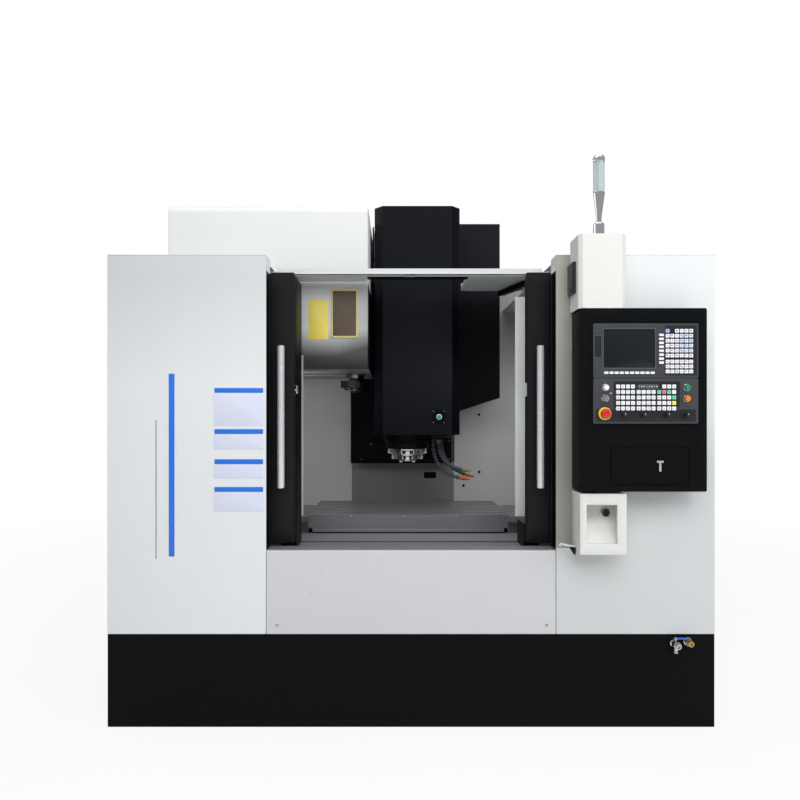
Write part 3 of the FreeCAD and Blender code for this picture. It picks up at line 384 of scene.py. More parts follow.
def cast_paint(name, colour, machined=(), shine=0.5):
    """Painted casting: sand texture, paint runs, and bare machined faces where they are ground."""
    cast = Finish(name)
    sand = cast.noise(160.0, 5.0, rough=0.65)
    wide = cast.noise(5.0, 4.0)
    paint = cast.mix(darker(colour, 0.82), darker(colour, 1.1), wide * 0.6 + sand * 0.4)
    oil = cast.noise(3.3, 5.0).held(0.55, 0.78)
    paint = cast.mix(paint, OIL, oil * 0.3)
    gloss = 0.5 + (sand - 0.5) * 0.2 - oil * 0.15
    bare = [Patch(low, high, MACHINED, MACHINED_ROUGH, 1.0) for low, high in machined]
    paint, gloss, metal = cast.patched(paint, gloss, bare)
    normal = cast.bump(sand, 0.35, 0.0012, 1.5)
    return cast.done(paint, gloss, normal, **{"Specular IOR Level": shine}, **metal)


def clear_pane(name, colour, rough, weight):
    """Tinted safety glass or clear plastic, with wiped smears and a faint wave."""
    pane = Finish(name)
    smears = pane.noise(4.0, 4.0, pane.scaled(1.0, 1.0, 0.35))
    base = pane.mix(darker(colour, 0.85), darker(colour, 1.1), smears)
    gloss = rough + smears.held(0.5, 0.8) * 0.024
    normal = pane.bump(pane.noise(9.0, 1.0), 0.05, 0.001, 0)
    return pane.done(base, gloss, normal, **{"Transmission Weight": weight, "IOR": 1.46})


# ---- mesh maker -----------------------------------------------------------------------------
PLANES = {"x": (1, 2, 0), "y": (0, 2, 1), "z": (0, 1, 2)}


def polar(a, b, radius, degrees):
    """The point at an angle round a centre."""
    angle = math.radians(degrees)
    return (a + radius * math.cos(angle), b + radius * math.sin(angle))


def arc(a, b, radius, angles):
    return [polar(a, b, radius, degrees) for degrees in angles]


def circle(a, b, radius, count=48):
    return arc(a, b, radius, [360 * i / count for i in range(count)])


def rounded(a0, a1, b0, b1, radius, steps=6):
    """A rectangle with round corners."""
    outline = []
    for a, b, start in ((a1, b1, 0), (a0, b1, 90), (a0, b0, 180), (a1, b0, 270)):
        centre_a = a - math.copysign(radius, a - (a0 + a1) / 2)
        centre_b = b - math.copysign(radius, b - (b0 + b1) / 2)
        outline += arc(centre_a, centre_b, radius, [start + 90 * i / steps for i in range(steps + 1)])
    return outline


def placed(axis, u, v, along):
    """A point of the plane across an axis, at a distance along it."""
    spot = [0.0, 0.0, 0.0]
    for place, value in zip(PLANES[axis], (u, v, along)):
        spot[place] = value
    return spot


def bent(path, gauge, radius, steps=5):
    """The section of a folded sheet with round bends; its gauge lies to the left of the path."""
    ways = []
    for (a0, b0), (a1, b1) in zip(path, path[1:]):
        length = math.hypot(a1 - a0, b1 - b0)
        ways.append(((a1 - a0) / length, (b1 - b0) / length))
    rails = [(path[0], (-ways[0][1], ways[0][0]))]
    for corner, before, after in zip(path[1:-1], ways, ways[1:]):
        cross = before[0] * after[1] - before[1] * after[0]
        turn = math.atan2(cross, before[0] * after[0] + before[1] * after[1])
        side = math.copysign(1.0, turn)
        reach = radius * math.tan(abs(turn) / 2)
        start = (corner[0] - before[0] * reach, corner[1] - before[1] * reach)
        left = (-before[1], before[0])
        centre = (start[0] + left[0] * radius * side, start[1] + left[1] * radius * side)
        for i in range(steps + 1):
            angle = turn * i / steps
            cosine, sine = math.cos(angle), math.sin(angle)
            normal = (left[0] * cosine - left[1] * sine, left[0] * sine + left[1] * cosine)
            spot = (centre[0] - side * normal[0] * radius, centre[1] - side * normal[1] * radius)
            rails.append((spot, normal))
    rails.append((path[-1], (-ways[-1][1], ways[-1][0])))
    far = [(spot[0] + normal[0] * gauge, spot[1] + normal[1] * gauge) for spot, normal in rails]
    return [spot for spot, normal in rails] + far[::-1]


BEVEL_FROM = math.radians(28)     # edges at least this sharp are rounded
SHARP_FROM = math.radians(32)     # edges at least this sharp are shaded as edges
LOUVRES = 9


class Form:
    """Mesh code for one piece: plates, prisms, turned pieces and pipes in millimetres."""

    def __init__(self, name):
        self.name = name
        self.mesh = bmesh.new()
        self.finishes = []
        self.current = 0

    def use(self, name):
        """The finish of what follows."""
        if name not in self.finishes:
            self.finishes.append(name)
        self.current = self.finishes.index(name)
        return self

    def keep(self, faces, soft=0.0):
        """Gives new faces their finish and rounds their sharp edges."""
        for face in faces:
            face.material_index = self.current
        bmesh.ops.recalc_face_normals(self.mesh, faces=faces)
        if soft:
            edges = {
                edge for face in faces for edge in face.edges
                if len(edge.link_faces) == 2 and edge.calc_face_angle() > BEVEL_FROM
            }
            made = bmesh.ops.bevel(
                self.mesh, geom=list(edges), offset=soft, segments=2, affect="EDGES", profile=0.5,
                clamp_overlap=True,
            )
            for face in made["faces"]:
                face.material_index = self.current

    def plate(self, outline, axis, start, end, holes=(), soft=0.0):
        """A flat plate with holes, pushed along an axis."""
        edges = []
        rims = []
        for loop in [outline, *holes]:
            rim = [self.mesh.verts.new(placed(axis, u, v, start)) for u, v in loop]
            edges += [self.mesh.edges.new((rim[i - 1], rim[i])) for i in range(len(rim))]
            rims.append(rim)
        if holes:
            made = bmesh.ops.triangle_fill(self.mesh, edges=edges, use_beauty=True, use_dissolve=False)
            faces = [g for g in made["geom"] if isinstance(g, bmesh.types.BMFace)]
        else:
            faces = [self.mesh.faces.new(rims[0])]
        grown = bmesh.ops.extrude_face_region(self.mesh, geom=faces)
        verts = [g for g in grown["geom"] if isinstance(g, bmesh.types.BMVert)]
        bmesh.ops.translate(self.mesh, verts=verts, vec=placed(axis, 0.0, 0.0, end - start))
        self.keep(list({f for v in verts for f in v.link_faces} | set(faces)), soft)

    def block(self, x0, x1, y0, y1, z0, z1, soft=0.0):
        self.plate([(x0, y0), (x1, y0), (x1, y1), (x0, y1)], "z", z0, z1, soft=soft)

    def fold(self, path, axis, start, end, gauge=SHEET, radius=5.0):
        self.plate(bent(path, gauge, radius), axis, start, end)

    def rings(self, rings):
        """A skin stretched over rings of points, with closed ends."""
        rows = [[self.mesh.verts.new(p) for p in ring] for ring in rings]
        faces = [
            self.mesh.faces.new((low[i - 1], low[i], high[i], high[i - 1]))
            for low, high in zip(rows, rows[1:]) for i in range(len(low))
        ]
        self.keep([*faces, self.mesh.faces.new(rows[0]), self.mesh.faces.new(rows[-1])])

    def lathe(self, profile, centre, axis, sides=40):
        """A turned piece from (radius, distance) points along an axis."""
        a, b, c = PLANES[axis]
        rings = []
        for radius, along in profile:
            outline = circle(centre[a], centre[b], max(radius, 0.05), sides)
            rings.append([placed(axis, u, v, centre[c] + along) for u, v in outline])
        self.rings(rings)

    def pipe(self, spots, radii, sides=12):
        """A round pipe through points, with a radius at each."""
        rings = []
        up = Vector((0, 0, 1))
        for i, spot in enumerate(spots):
            way = (spots[min(i + 1, len(spots) - 1)] - spots[max(i - 1, 0)]).normalized()
            if abs(way.dot(up)) > 0.95:
                up = Vector((0, 1, 0))
            across = way.cross(up).normalized()
            up = across.cross(way).normalized()
            rings.append([spot + across * a + up * b for a, b in circle(0, 0, radii[i], sides)])
        self.rings(rings)

    def screw(self, spot, axis, way, radius=6.0):
        """A button-head screw with a hexagon socket, its head standing proud along the axis."""
        profile = [(1, 0), (0.94, 0.22), (0.7, 0.45), (0.42, 0.52), (0.4, 0.2)]
        self.lathe([(radius * r, way * radius * d) for r, d in profile], spot, axis, sides=12)

    def screws(self, xs, ys, zs, axis, way, radius=6.0):
        """Screws at every combination of the coordinates, each of them a number or several."""
        for spot in itertools.product(*(c if isinstance(c, tuple) else (c,) for c in (xs, ys, zs))):
            self.screw(spot, axis, way, radius)

    def louvres(self, low, high, foot, pitch, axis, start, end, soft):
        """Slats one above the other, on a sheet that faces along an axis."""
        for row in range(LOUVRES):
            z = foot + row * pitch
            self.plate(rounded(low, high, z, z + 9, 4.4), axis, start, end, soft=soft)

    def made(self, body, replaces=(), slot=None):
        """Finishes the object and lets it ride on its body."""
        bmesh.ops.scale(self.mesh, vec=(MM, MM, MM), verts=self.mesh.verts)
        for edge in self.mesh.edges:
            edge.smooth = len(edge.link_faces) == 2 and edge.calc_face_angle(0.0) < SHARP_FROM
        for face in self.mesh.faces:
            face.smooth = True
        data = bpy.data.meshes.new(self.name)
        self.mesh.to_mesh(data)
        self.mesh.free()
        piece = bpy.data.objects.new(self.name, data)
        bpy.context.scene.collection.objects.link(piece)
        for name in self.finishes:
            data.materials.append(finish(name))
        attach(piece, body)
        if replaces:
            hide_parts(*replaces)


def both(side, a, b):
    """The x range of a right-hand piece, or of its mirror on the left."""
    return (a, b) if side > 0 else (-b, -a)


SIDES = (("right", 1), ("left", -1))


# ---- finishes -------------------------------------------------------------------------------
BRIGHT = tone(226, 227, 229)
APRON = tone(142, 141, 147)
APRON_METAL = 0.35


def cover_with_painted_shade(colour):
    """The changer's sheet, with painted shade: greyed below the roof, most towards its foot and towards its
    right edge.
    """
    paint = Finish("cover_paint")
    low = paint.z.held(1560 * MM, 1690 * MM)
    high = paint.z.held(1880 * MM, 1905 * MM)
    edge = paint.x.held(-330 * MM, -193 * MM)
    # painted shade: dark grey at the foot, lighter up to the roof, and darker towards the right edge
    painted_shade = paint.mix(tone(76, 78, 78), tone(200, 202, 202), low - edge * 0.35)
    flat = paint.noise(1.4, 3.0).held(0.3, 0.7) * 0.05
    base = paint.mix(paint.mix(painted_shade, colour, high), darker(colour, 0.8), flat)
    # painted shade: the cover's right side face is near-black below the roof
    side = paint.inside((-196.5, -640, 1400), (-180, 195, 1905))
    base = paint.mix(base, tone(16, 17, 18), side)
    # painted shade: the underside is a mid grey
    base = paint.mix(base, tone(150, 152, 152), paint.z < (CHANGER_LOW.z + 4) * MM)
    gloss = 0.36 + paint.noise(26.0, 3.0).held(0.35, 0.75) * 0.08
    normal = paint.bump(paint.noise(900.0), 0.08, 0.0002, 1.2)
    return paint.done(base, gloss, normal, **{"Specular IOR Level": 0.3})


def mix_sheet_finishes(colours):
    """Paints of the folded sheets, and of the nodes that the frame carries over."""
    front_skin = FRONT + 10
    shadow, head_shadow, inner_shadow = [darker(c, 0.3) for c in (colours.panel, colours.head, colours.inner)]
    # the jamb strip on the right sheet, between the door and the console, carries painted shadow
    jamb_strip = ((PANEL_LOW.x - 1, FRONT - 1, 735), (694, FRONT + 4, 1940))
    jamb_shadow = tone(118, 119, 111)
    films = {
        "notice": (222, 204, 92),
        "notice white": (206, 211, 228),
        "stripe blue": (30, 108, 206),
        "stripe grey": (120, 124, 128),
    }
    made = {
        "panel": powder_coat(
            "panel_paint", colours.panel, 0.38,
            # painted shade: the left sheet darkens towards its top and the right sheet lower down; the jamb
            # strip is painted shadow
            fades=[
                Fade("z", 1400, 1850, shadow, 0.29, ANYWHERE, (-500, front_skin, None)),
                Fade("z", 1290, 1060, shadow, 0.26, (500, None, None), (None, front_skin, None)),
                Fade("x", 540, 555, tone(160, 161, 152), 1.0, *jamb_strip),
                Fade("x", 597, 662, jamb_shadow, 0.5, *jamb_strip),
                Fade("z", 1650, 1150, jamb_shadow, 0.5, *jamb_strip),
            ],
        ),
        "cover": cover_with_painted_shade(colours.cover),
        "sill": powder_coat("sill_paint", colours.sill, 0.3, peel=0.08),
        "duct": powder_coat("duct_paint", colours.duct, 0.36),
        "skirt": powder_coat("skirt_paint", colours.skirt, 0.5, peel=0.2, dust=0.0, shine=0.03),
        "door": powder_coat("door_paint", colours.door, 0.36, peel=0.14, dust=0.0, shine=0.1),
        "head": powder_coat(
            "head_paint", colours.head, 0.34, peel=0.14, dust=0.0, shine=0.1,
            # painted shade: the cover darkens towards its foot, and its right chamfer and side are near-black
            fades=[Fade("z", 1450, 1190, head_shadow, 0.7), Fade("x", 222, 228, tone(3, 3, 6), 0.9)],
        ),
        "roof": powder_coat(
            "roof_paint", darker(colours.panel, 0.88), 0.32,
            patches=[
                # painted shadow: the dark strip at the foot of the rail; then a grey strip at the beam's foot
                # and a near-black strip along the beam's foot over the head
                Patch((None, -870, 1880), (None, -770, 1898), tone(40, 41, 43), 0.4),
                Patch((None, -770, 1900), (None, -762, 1915), tone(120, 121, 122), 0.36),
                Patch((-192, -765, 1900), (266, -690, 1907.5), tone(16, 17, 18), 0.4),
            ],
        ),
        "inner": powder_coat(
            "inner_paint", colours.inner, 0.3, peel=0.06, dust=0.3,
            # painted shade: the inner guards darken towards the top
            fades=[Fade("z", 1120, 1850, inner_shadow, 0.85)],
            patches=[
                Patch((-345, 340, 600), (305, 353.5, 990), tone(122, 123, 125), 0.34),
                Patch((-545, -905, 409), (545, -690, 700), APRON, 0.5, APRON_METAL),
                # painted light: the front face of the right flange is near-white
                Patch((492, -680, 812), (1241, -675.5, 1832), tone(244, 246, 246), 0.3),
            ],
        ),
        "guard": powder_coat(
            "guard_paint", tone(9, 9, 11), 0.36, peel=0.12, dust=0.0, shine=0.06,
            # painted shade: the guards are darker below 1900 mm, under the roof
            fades=[Fade("z", 1900, 2000, tone(26, 26, 31), 1.0)],
        ),
        "cabinet": powder_coat("cabinet_paint", tone(206, 208, 208), 0.44, peel=0.22),
        "amber frame": powder_coat("amber_frame_paint", tone(206, 188, 118), 0.36),
    }
    for name, shade in films.items():
        made[name] = powder_coat(name.replace(" ", "_") + "_film", tone(*shade), 0.3, peel=0.02, edge=0)
    return made


def mix_metal_finishes():
    """Ground, turned, brushed and cast metal."""
    apron = {"scale": 2.0, "metallic": APRON_METAL}
    made = {
        "tube": worked_metal("tube_steel", BRIGHT, (60, 60, 1), 0.24, mark=0.02, scale=3.0, metallic=0.5),
        "turned": worked_metal("turned_steel", tone(222, 223, 226), (3, 3, 90), 0.18, scale=3.0),
        "chrome": worked_metal("chrome_trim", tone(232, 233, 235), (5, 5, 5), 0.12, mark=0.03),
        "table": worked_metal(
            "table_iron", tone(146, 147, 150), (1.2, 60, 60), 0.4, scale=2.0, metallic=0.6
        ),
        "way cover": worked_metal("way_cover_steel", tone(168, 169, 171), (2, 50, 8), 0.3, scale=2.0),
        "apron cover": worked_metal("apron_cover_steel", APRON, (40, 2, 8), 0.5, **apron),
        "roller": worked_metal("roller_steel", tone(214, 214, 214), (80, 5, 5), 0.2),
        "base": cast_paint("base_cast_paint", tone(88, 94, 98), [((None, None, 454.5), (None, None, 489.5))]),
        "cast": cast_paint("cast_paint", tone(92, 98, 102)),
        "column": cast_paint("column_cast_paint", tone(92, 98, 102), [((-245, 300, 990), (245, 346, 2100))]),
        "saddle": cast_paint(
            "saddle_cast_paint", tone(88, 94, 98), [((None, None, 639.5), (None, None, 690))]
        ),
        # near-black: black paint, darkened further as painted shade under the head cover
        "head cast": cast_paint(
            "head_cast_paint", tone(14, 15, 17), [((-240, 262, 1140), (240, 345, 1660))], shine=0.08
        ),
        "arm": cast_paint("arm_black", tone(30, 31, 33)),
    }
    for name, material, shade, grain, rough in (
        ("screw", "zinc_screw", (196, 197, 196), 40, 0.34),
        ("dark screw", "black_screw", (46, 47, 49), 40, 0.42),
        ("shaft", "ground_shaft", (196, 198, 202), 30, 0.2),
        ("brass", "fitting_brass", (190, 160, 96), 30, 0.3),
        ("fitting", "fitting_nickel", (200, 200, 198), 30, 0.26),
    ):
        made[name] = worked_metal(material, tone(*shade), (grain, grain, grain), rough)
    return made


def mix_plastic_finishes(colours):
    """Moulded plastics, rubbers, caps and panes."""
    caps = {
        "stop": colours.stop,
        "collar": colours.collar,
        "lever": colours.lever,
        "nozzle": colours.nozzle,
        "green cap": tone(28, 138, 96),
        "orange cap": tone(228, 122, 40),
        "white cap": tone(232, 232, 228),
        "olive": tone(112, 118, 66),
    }
    keys = {
        "key white": tone(232, 233, 236),
        "key blue": tone(150, 182, 218),
        "key pale": tone(206, 216, 236),
        "key green": tone(112, 204, 166),
        "key mint": tone(190, 225, 215),
        "key pink": tone(236, 112, 146),
        "key yellow": tone(236, 232, 96),
        "print": tone(70, 72, 78),
        "scale": tone(226, 226, 224),
    }
    made = {
        "console": moulded(
            "console_texture", colours.console, 0.42, grain=420.0, strength=0.22, edge=1.5, shine=0.06
        ),
        "unit": moulded("unit_texture", colours.unit, 0.4, grain=520.0, strength=0.2, edge=0.8, shine=0.2),
        "bezel": moulded("bezel_plastic", tone(74, 76, 82), 0.34),
        "knob": moulded("knob_plastic", tone(24, 24, 26), 0.34, coat=0.2),
        "rubber": moulded("black_rubber", tone(20, 20, 20), 0.62, grain=240.0, strength=0.25),
        "pipe": moulded("pipe_plastic", colours.pipe, 0.42),
        "pot": moulded("pot_plastic", tone(38, 39, 42), 0.4),
        "recess": moulded("recess_plastic", tone(26, 27, 29), 0.5),
        "glass": clear_pane("door_glass", tone(150, 158, 160), 0.06, 0.85),
        "amber": clear_pane("amber_pane", tone(120, 104, 88), 0.2, 0.5),
        "lens": clear_pane("signal_lens", tone(226, 236, 238), 0.3, 0.75),
    }
    for name, shade in caps.items():
        made[name] = moulded(name.replace(" ", "_") + "_plastic", shade, 0.3, coat=0.4)
    for name, shade in keys.items():
        made[name] = moulded(name.replace(" ", "_") + "_cap", shade, 0.42)
    return made


def screen_glass():
    """A switched-off display: near-black glass with a faint painted sheen that lightens its colour to one
    corner.
    """
    glass = Finish("screen_glass")
    # painted sheen: the colour lightens towards the upper right corner
    corner = glass.x.held(760 * MM, 950 * MM) * 0.5 + glass.z.held(1470 * MM, 1620 * MM) * 0.5
    base = glass.mix(tone(17, 20, 22), tone(25, 28, 31), corner + glass.noise(3.0) * 0.3)
    gloss = 0.16 + glass.noise(5.0, 4.0).held(0.45, 0.8) * 0.1
    normal = glass.bump(glass.noise(60.0), 0.01, 0.0002, 0)
    return glass.done(base, gloss, normal, **{"Specular IOR Level": 0.3})


CAD_FINISHES = {
    "base": ["base_casting"],
    "column": ["column_casting"],
    "saddle": ["saddle_casting"],
    "head cast": ["head_casting"],
    "cast": ["changer_gearbox"],
    "table": ["work_table"],
    "shaft": ["x_screw", "y_screw", "z_screw", "arm_sleeve", "spindle_shaft"],
    "way cover": ["table_way_covers", "side_cover_stage_2", "side_cover_stage_3"],
    "apron cover": ["saddle_way_covers", "front_cover_stage_2", "front_cover_stage_3"],
    "guard": ["head_way_plate", "black_guards"],
    "inner": ["inner_guards"],
    "roof": ["roof_frame"],
    "pot": ["magazine_disc", "change_pot"],
    "glass": ["left_window", "right_window"],
    "cabinet": ["rear_cabinet", "cabinet_door"],
    "panel": ["left_panel", "right_panel"],
    "sill": ["sill_panel"],
    "skirt": ["base_skirt"],
    "door": ["left_door", "right_door"],
    "tube": ["left_handle", "right_handle"],
    "head": ["head_cover"],
    "turned": ["spindle_ring"],
    "pipe": ["coolant_hoses"],
    "cover": ["magazine_cover"],
    "amber": ["magazine_window"],
    "arm": ["tool_arm"],
    "console": ["console_housing", "console_flap"],
    "unit": ["display_unit", "machine_panel"],
    "stop": ["stop_button"],
    "green cap": ["green_button", "release_button"],
    "orange cap": ["orange_button"],
    "white cap": ["white_button"],
    "chrome": ["key_switch", "flap_latch"],
    "knob": ["override_knob_1", "override_knob_2", "override_knob_3", "override_knob_4"],
    "duct": ["duct_box", "niche_box"],
    "lens": ["signal_light"],
    "lever": ["valve_lever"],
}


class MACHINE_OT_finishes(bpy.types.Operator):
    """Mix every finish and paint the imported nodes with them"""

    bl_idname = "machine.finishes"
    bl_label = "Finishes"

    def execute(self, context):
        colours = context.scene.machine_colours
        FINISHES.update(mix_sheet_finishes(colours))
        FINISHES.update(mix_metal_finishes())
        FINISHES.update(mix_plastic_finishes(colours))
        FINISHES["screen"] = screen_glass()
        for name, nodes in CAD_FINISHES.items():
            for node in nodes:
                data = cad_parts[node].data
                if not data.materials:
                    data.materials.append(finish(name))
                for i in range(len(data.materials)):
                    data.materials[i] = finish(name)
        return {"FINISHED"}


# ---- stage ----------------------------------------------------------------------------------
IMAGE = 800                       # pixels a side
FOCAL = 617.0                     # pixels
VANISH = (395.0, 415.0)           # where lines along +Y meet
CAMERA = Vector((-66.0, -3546.0, 1282.0))
SENSOR = 36.0


def lamp(name, spot, aim, size, power):
    """A soft rectangular lamp that points at a place."""
    data = bpy.data.lights.new(name, "AREA")
    data.shape = "RECTANGLE"
    data.size, data.size_y = size
    data.energy = power
    light = bpy.data.objects.new(name, data)
    light.location = Vector(spot) * MM
    light.rotation_euler = (Vector(aim) - Vector(spot)).to_track_quat("-Z", "Y").to_euler()
    bpy.context.scene.collection.objects.link(light)
    return light


# each lamp's name, place, aim, size in metres, and its share of one of the three light powers
LAMPS = (
    ("front_softbox", (350, -4600, 3900), (100, -300, 900), (4.6, 2.6), "front", 1.0),
    ("side_softbox", (4200, -2900, 2400), (200, -400, 1100), (2.4, 3.0), "front", 0.42),
    ("top_softbox", (0, -1300, 4700), (0, -200, 900), (4.5, 3.0), "top", 1.0),
    ("rear_softbox", (600, 5200, 3200), (0, 500, 1100), (4.0, 3.0), "top", 0.7),
    ("left_softbox", (-5000, 900, 2600), (-800, 0, 1100), (3.0, 3.0), "top", 0.6),
    ("right_work_light", (780, -420, 1500), (560, 354, 960), (0.5, 0.3), "inside", 1.0),
    ("left_work_light", (-760, -420, 1400), (-450, 354, 1050), (0.5, 0.3), "inside", 1.0),
    ("table_work_light", (330, -640, 1500), (0, -300, 784), (0.5, 0.3), "inside", 0.6),
)
SKY = (0.96, 0.98, 1.0)
SKY_STRENGTH = 0.38
FLOOR_HALF = 14.0                 # metres
FLOOR_DROP = 0.001                # metres below the feet


class MACHINE_OT_stage(bpy.types.Operator):
    """Set the camera, the pale floor, the white background and the soft studio light"""

    bl_idname = "machine.stage"
    bl_label = "Studio"

    def execute(self, context):
        self.set_camera(context.scene)
        self.lay_floor(context.scene)
        self.hang_sky(context.scene)
        context.scene.view_settings.view_transform = "Standard"
        lights = context.scene.machine_lights
        for name, spot, aim, size, group, share in LAMPS:
            light = lamp(name, spot, aim, size, getattr(lights, group) * share)
            light.visible_glossy = group == "top"
        return {"FINISHED"}

    def set_camera(self, scene):
        data = bpy.data.cameras.new("photo_camera")
        data.sensor_width = SENSOR
        data.lens = FOCAL / IMAGE * SENSOR
        data.shift_x = (IMAGE / 2 - VANISH[0]) / IMAGE
        data.shift_y = (VANISH[1] - IMAGE / 2) / IMAGE
        data.clip_end = 60.0
        camera = bpy.data.objects.new("photo_camera", data)
        camera.location = CAMERA * MM
        camera.rotation_euler = (math.radians(90), 0, 0)
        scene.collection.objects.link(camera)
        scene.camera = camera

    def lay_floor(self, scene):
        """A matt floor that the camera, reflections and clear panes see as near-white."""
        paint = Finish("studio_floor")
        base = paint.mix(tone(226, 226, 226), tone(232, 232, 232), paint.noise(0.6))
        matt = paint.node("ShaderNodeBsdfDiffuse", {}, Color=base)
        glow = paint.node("ShaderNodeEmission", {}, Color=(1.0, 1.0, 1.0), Strength=1.0)
        away = paint.node("ShaderNodeVectorMath", {"operation": "LENGTH"}, paint.where, output="Value")
        keep = away.held(2.0, 6.0) * 0.13 + 0.87
        straight, glossy, through = paint.rays("Camera", "Glossy", "Transmission")
        seen = paint.node("ShaderNodeMixShader", {}, (straight + glossy + through) * keep, matt, glow)
        paint.add("ShaderNodeOutputMaterial", {}, seen)
        mesh = bmesh.new()
        bmesh.ops.create_grid(mesh, x_segments=2, y_segments=2, size=FLOOR_HALF)
        data = bpy.data.meshes.new("studio_floor")
        mesh.to_mesh(data)
        mesh.free()
        data.materials.append(paint.material)
        ground = bpy.data.objects.new("studio_floor", data)
        ground.location = (0, 0, -FLOOR_DROP)
        scene.collection.objects.link(ground)

    def hang_sky(self, scene):
        """A soft fill that the camera and clear panes see as white."""
        world = bpy.data.worlds.new("studio")
        world.use_nodes = True
        sky = Nodes(world.node_tree)
        fill = sky.node("ShaderNodeBackground", {}, SKY, SKY_STRENGTH)
        white = sky.node("ShaderNodeBackground", {}, (1.0, 1.0, 1.0))
        straight, through = sky.rays("Camera", "Transmission")
        seen = straight.maths("MAXIMUM", straight, through)
        choose = sky.node("ShaderNodeMixShader", {}, seen, fill, white)
        sky.add("ShaderNodeOutputWorld", {}, choose)
        scene.world = world


# ---- enclosure ------------------------------------------------------------------------------
SERVICE_PANELS = ((-900, -330), (-260, 560))     # front and rear edge of each
SERVICE_HEIGHTS = (470, 1180)


class MACHINE_OT_side_sheets(bpy.types.Operator):
    """Fold the two side sheets with round bends, and screw on their service panels"""

    bl_idname = "machine.side_sheets"
    bl_label = "Side sheets"

    def execute(self, context):
        bend = context.scene.machine_sizes.bend / MM
        head = context.scene.machine_sizes.screw / MM
        inner, outer = PANEL_LOW.x, PANEL_HIGH.x
        rear, foot, top = PANEL_HIGH.y, PANEL_LOW.z, PANEL_HIGH.z
        jamb = FRONT + 85
        seal_foot, seal_top = SILL_HIGH.z + 2, top - 66
        path = [(inner, jamb), (inner, FRONT), (outer, FRONT), (outer, rear), (outer - 60, rear)]
        for (side, way), roof_rear in zip(SIDES, (350, -650)):
            form = Form(side + "_side_sheet").use("panel")
            form.fold([(x * way, y) for x, y in path[::way]], "z", foot, top - bend, radius=bend)
            x0, x1 = both(way, inner, outer)
            roof = [(x0, FRONT), (x1, FRONT), (x1, jamb), (x0, jamb)]
            form.plate(roof, "z", top - bend, top, soft=bend * 0.6)
            form.block(*both(way, inner + 20, outer), jamb - 2, roof_rear, top - bend, top, soft=1.5)
            form.made("machine", [side + "_panel"], "light_sheet")

            form = Form(side + "_jamb_seal").use("guard")
            form.block(*both(way, inner - 1.6, inner + 0.5), FRONT + 4, jamb, seal_foot, seal_top, soft=0.7)
            x0, x1 = both(way, inner - 4, inner - 1.2)
            form.use("rubber").block(x0, x1, FRONT + 60, FRONT + 66, seal_foot, seal_top, soft=1)
            form.made("machine")

            face, proud = outer * way, (outer + 2) * way
            form = Form(side + "_service_panels")
            for low, high in SERVICE_PANELS:
                form.use("panel").plate(rounded(low, high, *SERVICE_HEIGHTS, 18), "x", face, proud, soft=0.8)
                along = (low + 30, (low + high) / 2, high - 30)
                heights = (SERVICE_HEIGHTS[0] + 28, SERVICE_HEIGHTS[1] - 28)
                form.use("dark screw").screws(proud, along, heights, "x", way, head)
            form.use("recess").louvres(-40, 400, 1560, 26, "x", face, face + way * 1.2, 0.4)
            form.made("machine", (), "light_sheet")
        return {"FINISHED"}


class MACHINE_OT_side_graphics(bpy.types.Operator):
    """Lay the plain stripe and the blank notice films on the left side sheet"""

    bl_idname = "machine.side_graphics"
    bl_label = "Stripe and blank films"

    def execute(self, context):
        film = 0.4
        y = FRONT
        form = Form("left_stripe").use("stripe blue")
        form.plate(rounded(-996, -972, 700, 1452, 3), "y", y - film, y + 0.5, soft=0.15)
        form.use("stripe grey")
        form.plate(rounded(-1050, -1046, 690, 1262, 1.5), "y", y - film, y + 0.5, soft=0.1)
        form.made("machine")

        form = Form("left_blank_films")
        for top, bottom in ((1397, 1236), (1228, 1140), (1104, 1020), (990, 884)):
            form.use("notice white")
            form.plate(rounded(-812, -604, bottom, top, 5), "y", y - film, y + 0.5, soft=0.15)
            form.use("stripe blue")
            form.plate(rounded(-808, -608, top - 24, top - 4, 3), "y", y - 2 * film, y + 0.4, soft=0.1)
        form.made("machine")
        return {"FINISHED"}


class MACHINE_OT_sill(bpy.types.Operator):
    """Fold the front sill, with its top lip, drip edge and screws"""

    bl_idname = "machine.sill"
    bl_label = "Sill"

    def execute(self, context):
        bend = context.scene.machine_sizes.bend / MM
        head = context.scene.machine_sizes.screw / MM
        foot, top, rear = SILL_LOW.z, SILL_HIGH.z, SILL_HIGH.y
        x0, x1 = SILL_LOW.x, SILL_HIGH.x
        form = Form("front_sill").use("sill")
        path = [(rear, top - 35), (rear - 20, top - 35), (rear - 20, top), (FRONT, top), (FRONT, foot)]
        form.fold(path, "x", x0, x1, radius=bend)
        form.use("apron cover").block(x0, x1, FRONT + 4, rear - 22, top - 0.5, top + 2, soft=0.6)
        form.use("screw").screws((-551, 557), FRONT, 418, "y", -1, head)
        form.use("rubber").block(x0, x1, FRONT + 3, FRONT + 9, foot - 0.5, foot + 5, soft=1)
        form.made("machine", ["sill_panel"], "sill_sheet")
        return {"FINISHED"}


